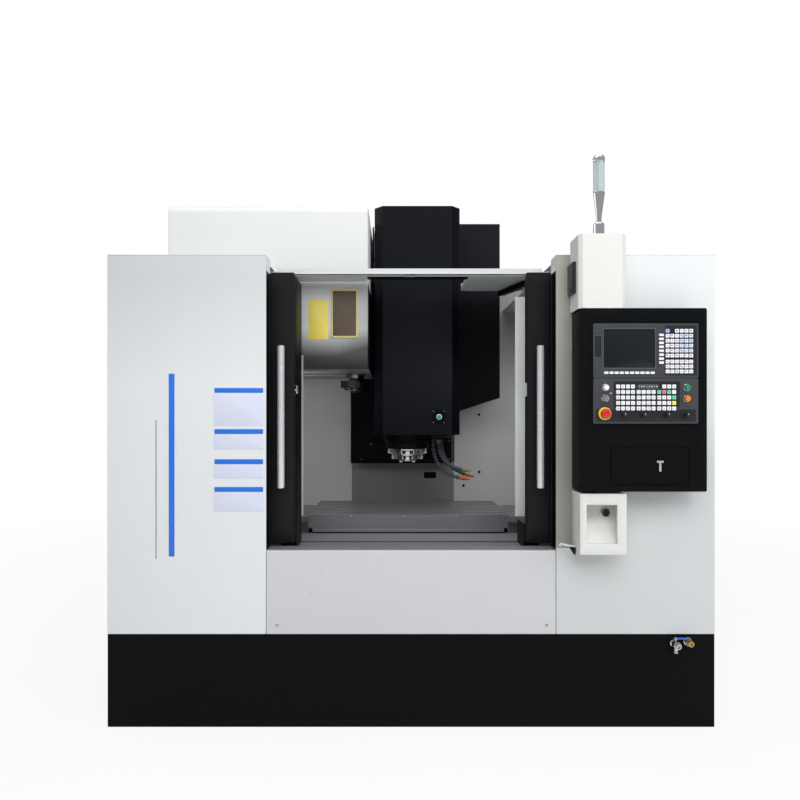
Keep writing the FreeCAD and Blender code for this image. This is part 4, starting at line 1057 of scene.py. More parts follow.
class MACHINE_OT_skirt(bpy.types.Operator):
    """Fold the base skirt and fit its drain valve and air coupler"""

    bl_idname = "machine.skirt"
    bl_label = "Base skirt"

    def execute(self, context):
        outer, rear, top = SKIRT_HIGH.x, SKIRT_HIGH.y, SKIRT_HIGH.z
        form = Form("skirt").use("skirt")
        path = [(-outer, rear), (-outer, FRONT), (outer, FRONT), (outer, rear)]
        form.fold(path, "z", 0, top, gauge=4, radius=8)
        x, y = outer - 3, FRONT + 3
        rim = [(-x, y), (x, y), (x, rear), (-x, rear)]
        x, y = outer - 50, FRONT + 60
        hole = [(-x, y), (x, y), (x, rear - 30), (-x, rear - 30)]
        form.plate(rim, "z", top - 4, top - 0.5, [hole])
        for way in (1, -1):
            for y in (-380, 250):
                form.block(*both(way, outer - 0.5, outer + 1.5), y - 2, y + 2, 6, top - 8, soft=0.5)
        form.use("dark screw")
        for way in (1, -1):
            form.screws(outer * way, (-960, -410, -350, 220, 280, 840), (40, top - 40), "x", way, 6)

        valve = Vector((1078, FRONT, 346))
        form.use("fitting")
        neck = [(15, 0), (15, -4), (11, -6), (11, -14), (14, -16), (14, -27), (12, -29), (12, -33)]
        form.lathe(neck, valve, "y")
        form.plate(circle(valve.x, valve.z, 17, 6), "y", FRONT - 41, FRONT - 28, soft=1.2)
        form.lathe([(7, -42), (11, -42), (11, -50), (7, -50), (7, -44)], valve, "y")
        spout = valve + Vector((0, -22, 0))
        form.lathe([(9, -10), (9, -24), (7, -26), (7, -28), (9.5, -28), (9.5, -33)], spout, "z", 24)
        form.lathe([(6, 10), (6, 13)], spout, "z", 20)
        coupler = Vector((1136, FRONT, 352))
        form.lathe([(17, 0), (17, -3), (11, -4), (11, -8)], coupler, "y")
        form.plate(circle(coupler.x, coupler.z, 16, 6), "y", FRONT - 19, FRONT - 7, soft=1.2)
        form.use("brass")
        plug = [(10, -19), (13, -21), (13, -25), (11.5, -26), (13, -27), (13, -33), (10, -35), (6, -35)]
        form.lathe([*plug, (6, -30)], coupler, "y", 32)
        form.made("machine", ["base_skirt"], "black_sheet")

        low, high = span("valve_lever")
        x, y = valve.x, FRONT - 22
        form = Form("drain_lever").use("fitting")
        form.plate(circle(x, y, 8, 24), "z", high.z - 3.5, high.z - 0.5, soft=0.5)
        form.plate(circle(x, y, 5, 6), "z", high.z - 0.5, high.z + 2.5, soft=0.4)
        form.lathe([(4, low.z), (4, high.z - 3)], (x, y, 0), "z", 16)
        form.use("lever")
        form.plate(rounded(x - 2, high.x, y - 6, y + 6, 5.8), "z", high.z - 4.4, high.z + 0.6, soft=1.6)
        form.made("valve_lever", ["valve_lever"], "blue_lever")
        return {"FINISHED"}


class MACHINE_OT_roof(bpy.types.Operator):
    """Fit the dark brace under the roof, and the beam's screws"""

    bl_idname = "machine.roof"
    bl_label = "Roof brace and beam"

    def execute(self, context):
        form = Form("roof_brace").use("guard")
        foot = Vector((546, -706, 1893))
        tip = Vector((462, -452, 1893))
        way = (tip - foot).normalized()
        across = Vector((-way.y, way.x, 0)) * 16
        loop = [foot + across, foot - across, tip - across, tip + across]
        form.plate([(p.x, p.y) for p in loop], "z", 1878, 1902, soft=2.5)
        form.use("screw")
        for spot in (foot + way * 40, tip - way * 26):
            form.screw((spot.x, spot.y, 1878), "z", -1, 6)
        form.made("machine")

        form = Form("beam_screws").use("screw")
        for x in (-520, -260, 260, 520):
            form.screw((x, -766, 1924), "y", -1, 4)
        form.made("machine")
        return {"FINISHED"}


SLOT = (1362, 1420)               # heights of the striker's slot in the right door's edge
PAN_TOP = 1891                    # top of the doors' pans, below their hangers


class MACHINE_OT_doors(bpy.types.Operator):
    """Build the sliding doors: pans, window gaskets, hangers, seals and the lock striker"""

    bl_idname = "machine.doors"
    bl_label = "Sliding doors"

    def execute(self, context):
        for side, way in SIDES:
            self.leaf(side, way)
        form = Form("left_door_striker").use("chrome")
        edge, face = -DOOR_LOW.x, DOOR_FACE
        form.block(edge, edge + 12, face + 8, face + 26, 1386, 1394, soft=1)
        form.plate(rounded(edge + 9, edge + 15, 1374, 1408, 2.5), "y", face + 4, face + 30, soft=1)
        form.screws(edge, face + 17, (1410, 1370), "x", 1, 4)
        form.made("left_door")
        return {"FINISHED"}

    def leaf(self, side, way):
        edge, far = DOOR_LOW.x, DOOR_HIGH.x
        foot, top, rear = DOOR_LOW.z, PAN_TOP, DOOR_FACE + 40
        x0, x1 = both(way, edge, far)
        w0, w1 = both(way, PANE_LOW.x + 15, PANE_HIGH.x - 15)
        v0, v1 = PANE_LOW.z + 15, PANE_HIGH.z - 15
        form = Form(side + "_door_leaf").use("door")
        opening = rounded(w0, w1, v0, v1, 30)
        form.plate(rounded(x0, x1, foot, top, 3, 3), "y", DOOR_FACE, DOOR_FACE + SHEET, [opening], 1.2)
        uprights = [(far - SHEET, far, foot, top)]
        for low, high in ((foot, SLOT[0]), (SLOT[1], top)) if way > 0 else ((foot, top),):
            uprights.append((edge, edge + SHEET, low, high))
        for a, b, low, high in uprights:
            form.block(*both(way, a, b), DOOR_FACE + 1.5, rear, low, high, soft=0.8)
        for z in (foot, top - SHEET):
            form.block(x0, x1, DOOR_FACE + 1.5, rear, z, z + SHEET, soft=0.8)
        for x in (640, 960):
            form.use("guard").block(*both(way, x - 30, x + 30), -874, -864, 1840, DOOR_HIGH.z, soft=1.2)
            wheel = [(2, 2), (8, 2), (8, 13), (6.5, 15), (6.5, 19), (8, 21), (8, 32), (2, 32)]
            form.use("rubber").lathe(wheel, (x * way, -866, DOOR_HIGH.z - 8), "y", 28)
            form.use("dark screw").screws(x * way, -874, (1852, 1872), "y", -1, 6)
        form.use("rubber")
        hole = rounded(w0 + 3, w1 - 3, v0 + 3, v1 - 3, 27)
        gasket = rounded(w0 - 5, w1 + 5, v0 - 5, v1 + 5, 34)
        form.plate(gasket, "y", DOOR_FACE - 2, DOOR_FACE + 1, [hole], 0.8)
        for low, high in ((foot + 12, SLOT[0]), (SLOT[1], top - 12)):
            form.block(*both(way, edge - 2.6, edge), DOOR_FACE + 12, rear - 8, low, high, soft=1.2)
        form.made(side + "_door", [side + "_door"], "black_sheet")


class MACHINE_OT_handles(bpy.types.Operator):
    """Turn the two tube handles with their end caps, posts and post collars"""

    bl_idname = "machine.handles"
    bl_label = "Door handles"

    def execute(self, context):
        radius = (HANDLE_HIGH.x - HANDLE_LOW.x) / 2
        foot, top = HANDLE_LOW.z, HANDLE_HIGH.z
        for side, way in SIDES:
            form = Form(side + "_tube_handle").use("tube")
            centre = ((HANDLE_LOW.x + radius) * way, HANDLE_LOW.y + radius, 0)
            cap = radius - 0.6
            profile = [(cap - 2.5, foot), (cap, foot + 2), (cap, foot + 5), (radius, foot + 5.6)]
            profile += [(radius, top - 5.6), (cap, top - 5), (cap, top - 2), (cap - 2.5, top)]
            form.lathe(profile, centre, "z", 56)
            for z in (1054, 1494):
                post = (centre[0], DOOR_FACE, z)
                reach = centre[1] - DOOR_FACE
                form.use("dark screw")
                form.lathe([(13, 0), (13, -3), (11.5, -4), (9, -4), (9, reach)], post, "y", 32)
            form.made(side + "_door", [side + "_handle"], "bright_tube")
        return {"FINISHED"}


class MACHINE_OT_guard_fittings(bpy.types.Operator):
    """Fit the bolts, plugs, seams and slot of the guards round the work space"""

    bl_idname = "machine.guard_fittings"
    bl_label = "Guard fittings"

    def execute(self, context):
        wall = 354.0
        form = Form("wall_fittings").use("dark screw")
        for x, z in ((465, 1285), (465, 922), (367, 836)):
            form.screw((x, wall, z), "y", -1, 9)
        form.use("guard").plate(rounded(117, 193, 884, 922, 3), "y", 346.4, 348.2, soft=0.6)
        for way in (1, -1):
            form.use("inner").block(*both(way, 700, 703), wall - 1.6, wall + 0.5, 830, 1480, soft=0.5)
            form.block(*both(way, 1223.4, 1225.5), -180, -177, 830, 1480, soft=0.5)
            form.use("screw").screws(1225 * way, (-620, -300, 60, 300), (850, 1470), "x", -way, 6)
        form.made("machine")

        form = Form("shield_screws").use("screw")
        form.screws((310, 484), -50, (1550, 1900, 2290), "y", -1, 4)
        form.made("machine")

        form = Form("way_plate_screws").use("screw")
        for x, z in ((-211, 1103), (-275, 1011), (269, 1122), (269, 1011)):
            form.screw((x, WAY_LOW.y, z), "y", -1, 5)
        form.use("dark screw").screws(271, WAY_LOW.y, (1100, 1045), "y", -1, 7)
        form.made("head")
        return {"FINISHED"}


# ---- spindle head ---------------------------------------------------------------------------
def control(node):
    """Where a round control stands: its middle x and z, its radius, its front and its rear."""
    low, high = span(node)
    return (low.x + high.x) / 2, (low.z + high.z) / 2, (high.x - low.x) / 2, low.y, high.y


class MACHINE_OT_head_cover(bpy.types.Operator):
    """Fold the spindle head's cover round its chamfered front, with its button plate"""

    bl_idname = "machine.head_cover"
    bl_label = "Head cover"

    def section(self, inset, bevel):
        """The cover's outline with two chamfered corners, set in by a distance."""
        x0, x1, y = COVER_LOW.x + inset, COVER_HIGH.x - inset, COVER_LOW.y + inset
        return [(x0, 180), (x0, y + bevel), (x0 + bevel, y), (x1 - bevel, y), (x1, y + bevel), (x1, 180)]

    def execute(self, context):
        front, foot, top = COVER_LOW.y, COVER_LOW.z, COVER_HIGH.z
        nose, bore, lip = [circle(SPINDLE.x, SPINDLE.y, radius, 64) for radius in (141, 137, 135)]
        form = Form("head_cover_sheet").use("head")
        form.fold(self.section(0, 42), "z", foot, top, gauge=4, radius=7)
        inset = self.section(3.5, 40)
        form.plate(inset, "z", foot + 0.6, foot + 4.6, [bore, rounded(-150, 150, -60, 176, 14)])
        form.plate(inset, "z", top - 4.6, top - 0.6)
        form.use("dark screw")
        for x, way in ((COVER_LOW.x, -1), (COVER_HIGH.x, 1)):
            form.screws(x, (120, -300), (foot + 40, 1560, 1940, top - 50), "x", way, 5)
        form.use("rubber").plate(nose, "z", foot - 1.2, foot + 1.5, [lip])
        form.made("head", ["head_cover"], "black_sheet")

        form = Form("release_button_plate").use("guard")
        form.plate(rounded(122, 191, 1237, 1308, 5), "y", front - 2.2, front + 0.5, soft=0.7)
        form.use("screw").screws((129, 184), front - 2.2, (1244, 1301), "y", -1, 3)
        form.made("head")

        x, z, _, tip, rear = control("release_button")
        reach = rear - tip
        rim = [(14.5, 0), (14.5, -reach * 0.55), (13.6, -reach * 0.75), (11.2, -reach * 0.75)]
        cap = [(10.8, -reach * 0.4), (10.8, -reach * 0.92), (9.8, -reach), (2, -reach)]
        form = Form("release_button_cap")
        form.use("key mint").lathe(rim, (x, rear, z), "y")
        form.use("green cap").lathe(cap, (x, rear, z), "y")
        form.made("release_button", ["release_button"], "green_cap")
        return {"FINISHED"}


def castellated(radius, depth, half, count=16):
    """The spindle ring's outline, with notches all round."""
    outline = []
    pitch = 360 / count
    swing = math.degrees(half / radius)
    for notch in range(count):
        middle = pitch * (notch + 0.5)
        start, end = middle - swing, middle + swing
        previous = middle - pitch + swing
        rim = [previous + (start - previous) * i / 5 for i in range(6)]
        outline += arc(SPINDLE.x, SPINDLE.y, radius, rim)
        outline += arc(SPINDLE.x, SPINDLE.y, radius - depth, (start, middle, end))
    return outline


class MACHINE_OT_spindle_ring(bpy.types.Operator):
    """Cut the castellated steel ring in two steps round the spindle nose"""

    bl_idname = "machine.spindle_ring"
    bl_label = "Spindle ring"

    def execute(self, context):
        foot = RING_LOW.z

        def disc(radius):
            return circle(SPINDLE.x, SPINDLE.y, radius, 96)

        bore = disc(47.5)
        form = Form("castellated_ring").use("turned")
        form.plate(castellated(83, 11, 7), "z", foot, foot + 22, [bore], 0.9)
        form.plate(disc(83), "z", foot + 22, foot + 30, [bore], 0.6)
        form.plate(castellated(104, 14, 9), "z", foot + 30, foot + 50, [bore], 0.9)
        form.plate(disc(104), "z", foot + 50, RING_HIGH.z, [bore], 0.6)
        form.use("recess")
        for radius, low, high in ((72.6, 0.8, 21.5), (90.6, 30.8, 49.5)):
            form.plate(disc(radius), "z", foot + low, foot + high, [disc(radius - 2)])
        form.use("dark screw")
        for x, y in arc(SPINDLE.x, SPINDLE.y, 62, range(0, 360, 60)):
            form.screw((x, y, foot), "z", -1, 5)
        form.made("head", ["spindle_ring"], "ring_steel")
        return {"FINISHED"}


# the coolant pipes' curves: each one's start, its two pulls and its end
PIPE_ROUTES = (
    ((166, -232, 1149), (166, -236, 1040), (214, -276, 994), (338, -290, 988)),
    ((138, -224, 1149), (138, -228, 1010), (192, -264, 950), (330, -280, 942)),
    ((182, -196, 1149), (182, -200, 1040), (240, -232, 974), (358, -250, 952)),
)
PIPE_START, PIPE_END = 0.055, 0.86        # where the links begin and end, as a share of the curve
# sections of a pipe: a share of the length, and the radius there
SOCKET = ((0.0, 13.5), (0.03, 13.5), (0.034, 11.8), (0.06, 11.8), (0.064, 6.0))
LINK = ((0.0, 6.4), (0.06, 10.8), (0.5, 11.2), (0.6, 10.2), (0.7, 6.2), (0.86, 7.2), (1.0, 6.2))
NOZZLE = ((0.0, 9.6), (0.25, 10.4), (0.3, 8.4), (0.94, 5.0), (0.97, 2.8))


class MACHINE_OT_coolant_pipes(bpy.types.Operator):
    """String the three jointed coolant pipes from ball-and-socket links"""

    bl_idname = "machine.coolant_pipes"
    bl_label = "Coolant pipes"

    def string(self, form, route, profile, low=0.0, length=1.0):
        """One piece of a pipe, over a share of its curve."""
        start, pull, push, end = [Vector(p) for p in route]
        spots = []
        for share, radius in profile:
            t = low + length * share
            u = 1 - t
            spots.append(start * u ** 3 + pull * 3 * u * u * t + push * 3 * u * t * t + end * t ** 3)
        form.pipe(spots, [radius for share, radius in profile], 20)

    def execute(self, context):
        links = context.scene.machine_sizes.links
        step = (PIPE_END - PIPE_START) / links
        for number, route in enumerate(PIPE_ROUTES, 1):
            form = Form("coolant_pipe_%d" % number)
            form.use("nozzle" if number == 1 else "knob")
            self.string(form, route, SOCKET)
            form.use("pipe")
            for link in range(links):
                self.string(form, route, LINK, PIPE_START + step * link, step)
            form.use("olive" if number == 1 else "nozzle")
            self.string(form, route, NOZZLE, PIPE_END, 1 - PIPE_END)
            form.made("head")

        form = Form("coolant_manifold").use("head")
        form.plate(rounded(118, 204, -250, -176, 10), "z", 1158, 1180, soft=2)
        form.use("brass")
        for route in PIPE_ROUTES:
            form.plate(circle(*route[0][:2], 13.5, 6), "z", 1147, 1160, soft=1)
        form.use("knob")
        form.lathe([(8, 0), (8, 18), (10, 19), (10, 24), (7, 26)], (204, -214, 1168), "x", 24)
        form.plate(rounded(224, 230, -222, -206, 2.6), "z", 1154, 1182, soft=1)
        form.made("head", ["coolant_hoses"], "hose_plastic")
        return {"FINISHED"}


# ---- tool changer ---------------------------------------------------------------------------
SWEEP = 140                       # radius of the changer cover's foot
NOSE = 30                         # radius of its upper edge


class MACHINE_OT_changer_cover(bpy.types.Operator):
    """Fold the tool changer's cover, with the opening for its window"""

    bl_idname = "machine.changer_cover"
    bl_label = "Changer cover"

    def execute(self, context):
        x0, x1 = CHANGER_LOW.x, CHANGER_HIGH.x
        front, foot, top = CHANGER_LOW.y, CHANGER_LOW.z, CHANGER_HIGH.z
        rear = CHANGER_HIGH.y
        inner = x0 + 6
        turn, inner_turn = [
            arc(front + SWEEP, foot + SWEEP, r, range(270, 179, -9)) for r in (SWEEP, SWEEP - SHEET)
        ]
        nose, inner_nose = [
            arc(front + NOSE, top - NOSE, r, range(180, 89, -15)) for r in (NOSE, NOSE - SHEET)
        ]
        form = Form("changer_sheet").use("cover")
        sheet = [(inner, foot + SWEEP), (x1, foot + SWEEP), (x1, top - NOSE), (inner, top - NOSE)]
        form.plate(sheet, "y", front, front + SHEET, [rounded(-355, -252, 1656, 1862, 8)])
        form.plate(turn + inner_turn[::-1], "x", inner, x1)
        form.plate(nose + inner_nose[::-1], "x", inner, x1)
        form.block(inner, x1, front + NOSE, rear, top - SHEET, top)
        section = turn[::-1] + [(rear, foot), (rear, top)] + nose[::-1]
        form.plate(section, "x", x0, inner, soft=2.2)
        form.plate(section, "x", x1 - SHEET, x1, soft=1.2)
        floor = [(x0 + 4, front + SWEEP), (x1, front + SWEEP), (x1, rear), (x0 + 4, rear)]
        arm_space = [(-750, -290), (-225, -290), (-225, -130), (-750, -130)]
        form.plate(floor, "z", foot, foot + SHEET, [arm_space])
        form.use("dark screw")
        for x, way in ((x1, 1), (x0, -1)):
            form.screws(x, (rear - 30, -200), (1560, 1800, 2040, 2230), "x", way, 5)
        form.made("machine", ["magazine_cover"], "light_sheet")
        return {"FINISHED"}


class MACHINE_OT_changer_window(bpy.types.Operator):
    """Frame the changer's window, and lay the blank film beside it"""

    bl_idname = "machine.changer_window"
    bl_label = "Changer window"

    def execute(self, context):
        face = CHANGER_LOW.y
        x0, x1 = PORTHOLE_LOW.x, PORTHOLE_HIGH.x
        z0, z1 = PORTHOLE_LOW.z, PORTHOLE_HIGH.z
        form = Form("changer_window_pane").use("amber")
        form.plate(rounded(x0 + 6, x1 - 6, z0 + 6, z1 - 6, 3), "y", face - 2.2, face, soft=0.4)
        hole = rounded(x0 + 9, x1 - 9, z0 + 9, z1 - 9, 3)
        form.use("amber frame").plate(rounded(x0, x1, z0, z1, 4), "y", face - 4, face, [hole], 0.8)
        heights = (z0 + 5, (z0 + z1) / 2, z1 - 5)
        form.use("screw").screws((x0 + 5, x1 - 5), face - 4, heights, "y", -1, 3.6)
        form.made("machine", ["magazine_window"], "amber_pane")

        form = Form("changer_blank_film").use("notice")
        form.plate(rounded(-473, -381, 1637, 1822, 4), "y", face - 0.4, face + 0.5, soft=0.12)
        form.made("machine")
        return {"FINISHED"}


class MACHINE_OT_tool_arm(bpy.types.Operator):
    """Fit the arm's hub cap, screws and gripper rollers"""

    bl_idname = "machine.tool_arm"
    bl_label = "Tool arm"

    def execute(self, context):
        centre = (ARM_LOW + ARM_HIGH) / 2
        foot = ARM_LOW.z
        reach = (ARM_HIGH.y - ARM_LOW.y) / 2 - 50
        form = Form("arm_fittings").use("turned")
        form.lathe([(33, 0), (33, -2.6), (30, -4.4), (8, -4.4)], (centre.x, centre.y, foot), "z", 48)
        form.use("dark screw")
        for x, y in arc(centre.x, centre.y, 43, range(0, 360, 60)):
            form.screw((x, y, foot), "z", -1, 5)
        roller = [(8, 0), (8, -2.5), (5.5, -4), (2, -4)]
        for way in (1, -1):
            claw = centre.y - way * reach
            form.use("roller")
            for x in (-14, 14):
                form.lathe(roller, (centre.x + x, claw + way * 62, foot), "z", 24)
            form.use("dark screw").screw((centre.x, claw + way * 100, foot), "z", -1, 7)
        form.made("tool_arm")
        return {"FINISHED"}


# ---- operator station -----------------------------------------------------------------------
class MACHINE_OT_console(bpy.types.Operator):
    """Fold the console housing and line the opening of its lower flap"""

    bl_idname = "machine.console"
    bl_label = "Console"

    def execute(self, context):
        x0, x1 = CONSOLE_LOW.x, CONSOLE_HIGH.x
        z0, z1 = CONSOLE_LOW.z, CONSOLE_HIGH.z
        face, rear = CONSOLE_LOW.y, CONSOLE_HIGH.y

        def pocket(gap, radius):
            """The flap's outline, grown by a gap."""
            gap += 2
            return rounded(FLAP_LOW.x - gap, FLAP_HIGH.x + gap, FLAP_LOW.z - gap, FLAP_HIGH.z + gap, radius)

        form = Form("console_shell").use("console")
        openings = [pocket(0, 6)] + [
            rounded(low.x + 12, high.x - 12, low.z + 12, high.z - 12, 4)
            for low, high in ((KEYS_LOW, KEYS_HIGH), (UNIT_LOW, UNIT_HIGH))
        ]
        form.plate(rounded(x0, x1, z0, z1, 7), "y", face, face + SHEET, openings, 1.0)
        walls = rounded(x0 + 3, x1 - 3, z0 + 3, z1 - 3, 5)
        form.plate(rounded(x0, x1, z0, z1, 7), "y", face + SHEET - 0.5, rear - 1, [walls], 0.8)
        form.plate(pocket(3, 8), "y", face + SHEET, face + 34, [pocket(0, 6)])
        form.use("recess").plate(pocket(1, 5), "y", face + 33, face + 36)
        form.use("rubber").plate(pocket(-0.5, 6), "y", face + 9, face + 12, [pocket(-4, 5)])
        form.use("dark screw").screws((x0 + 14, x1 - 14), face, (z0 + 16, 1236, z1 - 16), "y", -1, 4)
        form.made("machine", ["console_housing"], "console_sheet")
        return {"FINISHED"}


SCREEN = (747, 947, 1466, 1617)   # left, right, foot and top
CARD_SLOT = (712, 738, 1506, 1590)
KEY_REAR = UNIT_FACE + 0.5
MARK_FRONT = UNIT_FACE - KEY_PROUD - 0.12
MARK_REAR = UNIT_FACE - KEY_PROUD + 0.4


def grown(box, by, radius):
    """A rectangle grown on all sides, with round corners."""
    left, right, foot, top = box
    return rounded(left - by, right + by, foot - by, top + by, radius)


def mark(form, left, right, foot, top, radius=0.5):
    """A short printed dash on a key, which stands for its legend."""
    form.plate(rounded(left, right, foot, top, radius, 2), "y", MARK_FRONT, MARK_REAR)


class MACHINE_OT_display(bpy.types.Operator):
    """Build the display unit: screen, card flap, soft keys and the letter keys"""

    bl_idname = "machine.display"
    bl_label = "Display unit"

    def execute(self, context):
        x0, x1, z0, z1 = UNIT_LOW.x, UNIT_HIGH.x, UNIT_LOW.z, UNIT_HIGH.z
        face = UNIT_FACE
        form = Form("display_face").use("unit")
        holes = [grown(SCREEN, 0, 4), grown(CARD_SLOT, 0, 3)]
        form.plate(rounded(x0, x1, z0, z1, 6), "y", face, UNIT_HIGH.y - 1, holes, 1.1)
        form.use("bezel")
        for box, rim in ((SCREEN, 4.5), (CARD_SLOT, 3)):
            form.plate(grown(box, rim, 6), "y", face - 1.2, face + 0.6, [grown(box, -0.2, 4)], 0.5)
        form.use("recess")
        form.plate(grown(CARD_SLOT, -0.6, 2.5), "y", face + 0.6, face + 4, soft=0.8)
        form.plate(rounded(721, 729, 1541, 1555, 3.8), "y", face - 0.9, face + 1.6, soft=0.6)
        form.plate(rounded(986, x1 - 6, z0 + 10, z1 - 8, 4), "y", face - 0.35, face + 0.5, soft=0.2)
        form.made("machine", ["display_unit"], "unit_plastic")

        form = Form("display_screen").use("screen")
        form.plate(grown(SCREEN, -0.5, 3.5), "y", face + 1.6, face + 3.4, soft=0.4)
        form.made("machine")

        form = Form("display_keys")
        keys = [("key white", 757 + 20.1 * i, 1446.5, 16, 9) for i in range(10)]
        keys += [("key white", 972, 1594 - 15.45 * i, 18, 9) for i in range(8)]
        for row in range(11):
            z = 1610 - 19.3 * row - (4 if row > 5 else 0)
            for column in range(6):
                if (row, column) == (0, 1) or z < z0 + 12:
                    continue
                shade = "key pale" if row in (1, 2, 3, 4) and column > 2 else "key white"
                if (row, column) == (0, 0):
                    shade = "key blue"
                keys.append((shade, 996 + 18.3 * column, z, 15, 14))
        for shade, x, z, wide, tall in keys:
            cap = rounded(x - wide / 2, x + wide / 2, z - tall / 2, z + tall / 2, 1.8, 3)
            form.use(shade).plate(cap, "y", face - KEY_PROUD, KEY_REAR, soft=0.7)
        form.use("print")
        for i, (shade, x, z, wide, tall) in enumerate(keys):
            if tall < 10:
                continue
            reach = 2.4 + (i * 7 % 5) * 0.9
            mark(form, x - reach, x + reach * 0.4, z - 0.4, z + 2.8, 0.6)
            if i % 3:
                mark(form, x + 1, x + 4.2, z - 4.2, z - 2.6)
        form.made("machine")
        return {"FINISHED"}


KNOBS = (826, 903, 995, 1070)     # x of the override knobs' scales
SCALE_RADIUS = 21
SCALE_SPREAD = 270
SCALE_TICKS = 16


def tick_ring(form, x, z):
    """White scale lines round a rotary control."""
    for i in range(SCALE_TICKS):
        angle = 90 + SCALE_SPREAD / 2 - SCALE_SPREAD * i / (SCALE_TICKS - 1)
        a, b = polar(0, 0, 0.45, angle + 90)
        (x0, z0), (x1, z1) = polar(x, z, SCALE_RADIUS, angle), polar(x, z, SCALE_RADIUS + 3, angle)
        loop = [(x0 + a, z0 + b), (x0 - a, z0 - b), (x1 - a, z1 - b), (x1 + a, z1 + b)]
        form.plate(loop, "y", UNIT_FACE - 0.2, UNIT_FACE + 0.4)


class MACHINE_OT_machine_keys(bpy.types.Operator):
    """Build the machine panel: its key rows, lamps, scales and legends"""

    bl_idname = "machine.machine_keys"
    bl_label = "Machine panel"

    def execute(self, context):
        x0, x1, z0, z1 = KEYS_LOW.x, KEYS_HIGH.x, KEYS_LOW.z, KEYS_HIGH.z
        face = UNIT_FACE
        form = Form("machine_panel_face").use("unit")
        form.plate(rounded(x0, x1, z0, z1, 6), "y", face, KEYS_HIGH.y - 1, [], 1.1)
        form.use("recess")
        for field in ((786, 1044, z0 + 62, z1 - 12), (x0 + 10, x1 - 10, z0 + 8, z0 + 56)):
            form.plate(rounded(*field, 5), "y", face - 0.35, face + 0.5, soft=0.2)
        form.made("machine", ["machine_panel"], "unit_plastic")

        form = Form("machine_panel_keys")
        tints = {
            (1, 8): "key green", (1, 10): "key green", (1, 9): "key pink", (2, 11): "key green",
            (3, 11): "key yellow",
        }
        keys = []
        for row in range(5):
            for column in range(12):
                x = 803 + 19.3 * column + (3 if column > 3 else 0) + (3 if column > 7 else 0)
                if row or not 870 < x < 970:
                    keys.append((tints.get((row, column), "key white"), x, z1 - 32 - 21.4 * row))
        for shade, x, z in keys:
            cap = rounded(x - 7.5, x + 7.5, z - 7.5, z + 7.5, 2, 3)
            form.use(shade).plate(cap, "y", face - KEY_PROUD, KEY_REAR, soft=0.8)
        form.use("print")
        for i, (shade, x, z) in enumerate(keys):
            wide = 2.2 + (i * 5 % 4) * 0.9
            mark(form, x - wide, x + wide, z - 0.6, z + 0.7)
            if i % 2:
                form.plate(circle(x, z + 3.4, 1.3, 10), "y", MARK_FRONT, MARK_REAR)
            if i % 3 == 1:
                mark(form, x - 3, x + 1.5, z - 4.2, z - 3)
        form.made("machine")

        form = Form("machine_panel_lamps").use("bezel")
        form.plate(rounded(880, 960, z1 - 41, z1 - 23, 3), "y", face - 1.0, face + 0.5, soft=0.4)
        for i in range(8):
            form.use("scale" if i % 3 else "key green")
            form.lathe([(2.3, 0), (2.3, -1.9), (1.6, -2.6)], (885.5 + 9.9 * i, face, z1 - 32), "y", 14)
        form.made("machine")

        form = Form("knob_scales").use("scale")
        for x in KNOBS:
            tick_ring(form, x, z0 + 32)
        for dash in ((770, 780, 1366, 1368), (736, 744, 1346, 1348)):
            form.plate(rounded(*dash, 0.8), "y", face - 0.3, face + 0.4)
        form.made("machine")
        return {"FINISHED"}


class MACHINE_OT_buttons(bpy.types.Operator):
    """Turn the push buttons, the stop mushroom with its ring, and the key switch"""

    bl_idname = "machine.buttons"
    bl_label = "Buttons"

    def execute(self, context):
        face = UNIT_FACE
        for colour in ("white", "green", "orange"):
            node = colour + "_button"
            x, z, radius, tip, _ = control(node)
            depth = face - tip
            cap = [(radius - 1.2, 0.5), (radius - 1.2, -depth * 0.55), (radius, -depth * 0.6)]
            cap += [(radius, -depth * 0.86), (radius - 1, -depth), (radius - 3.5, -depth)]
            form = Form(node + "_cap").use(colour + " cap")
            form.lathe([*cap, (radius - 4.5, -depth + 0.7)], (x, face, z), "y", 40)
            form.made(node, [node], colour + "_cap")
            bezel = [(0.5, 0.4), (3.2, 0.4), (3.2, -1.4), (2.2, -2.3), (0.5, -2.3), (0.5, 0.2)]
            form = Form(node + "_bezel").use("chrome")
            form.lathe([(radius + gap, along) for gap, along in bezel], (x, face, z), "y", 44)
            form.made("machine")

        x, z, radius, tip, rear = control("stop_button")
        dome = [(0.52, rear - tip - 1), (0.52, 13), (1, 12), (1, 8.4), (0.94, 4), (0.8, 1.4), (0.55, 0)]
        form = Form("stop_mushroom").use("stop")
        form.lathe([(radius * share, along) for share, along in dome], (x, tip, z), "y", 56)
        form.use("scale")
        for base in (90, 210, 330):
            arrow = arc(x, z, radius * 0.74, range(base, base + 71, 10))
            arrow += arc(x, z, radius * 0.66, range(base + 70, base - 1, -10))
            form.plate(arrow, "y", tip + 1.0, tip + 2.8)
        form.made("stop_button", ["stop_button"], "stop_red")
        inner, outer = radius * 0.62, radius + 5.5
        ring = [(inner, 0.4), (outer, 0.4), (outer, -1.8), (outer - 1.5, -3), (inner, -3), (inner, 0.2)]
        form = Form("stop_collar").use("collar")
        form.lathe(ring, (x, face, z), "y", 56)
        form.made("machine")

        x, z = control("key_switch")[:2]
        trim = [(13, 0.4), (14.5, 0.4), (14.5, -1.8), (13.2, -2.8), (12.9, -2.8), (12.9, 0.2)]
        form = Form("key_switch_trim").use("chrome")
        form.lathe(trim, (x, face, z), "y", 44)
        form.made("machine")
        return {"FINISHED"}


FLUTES = 18


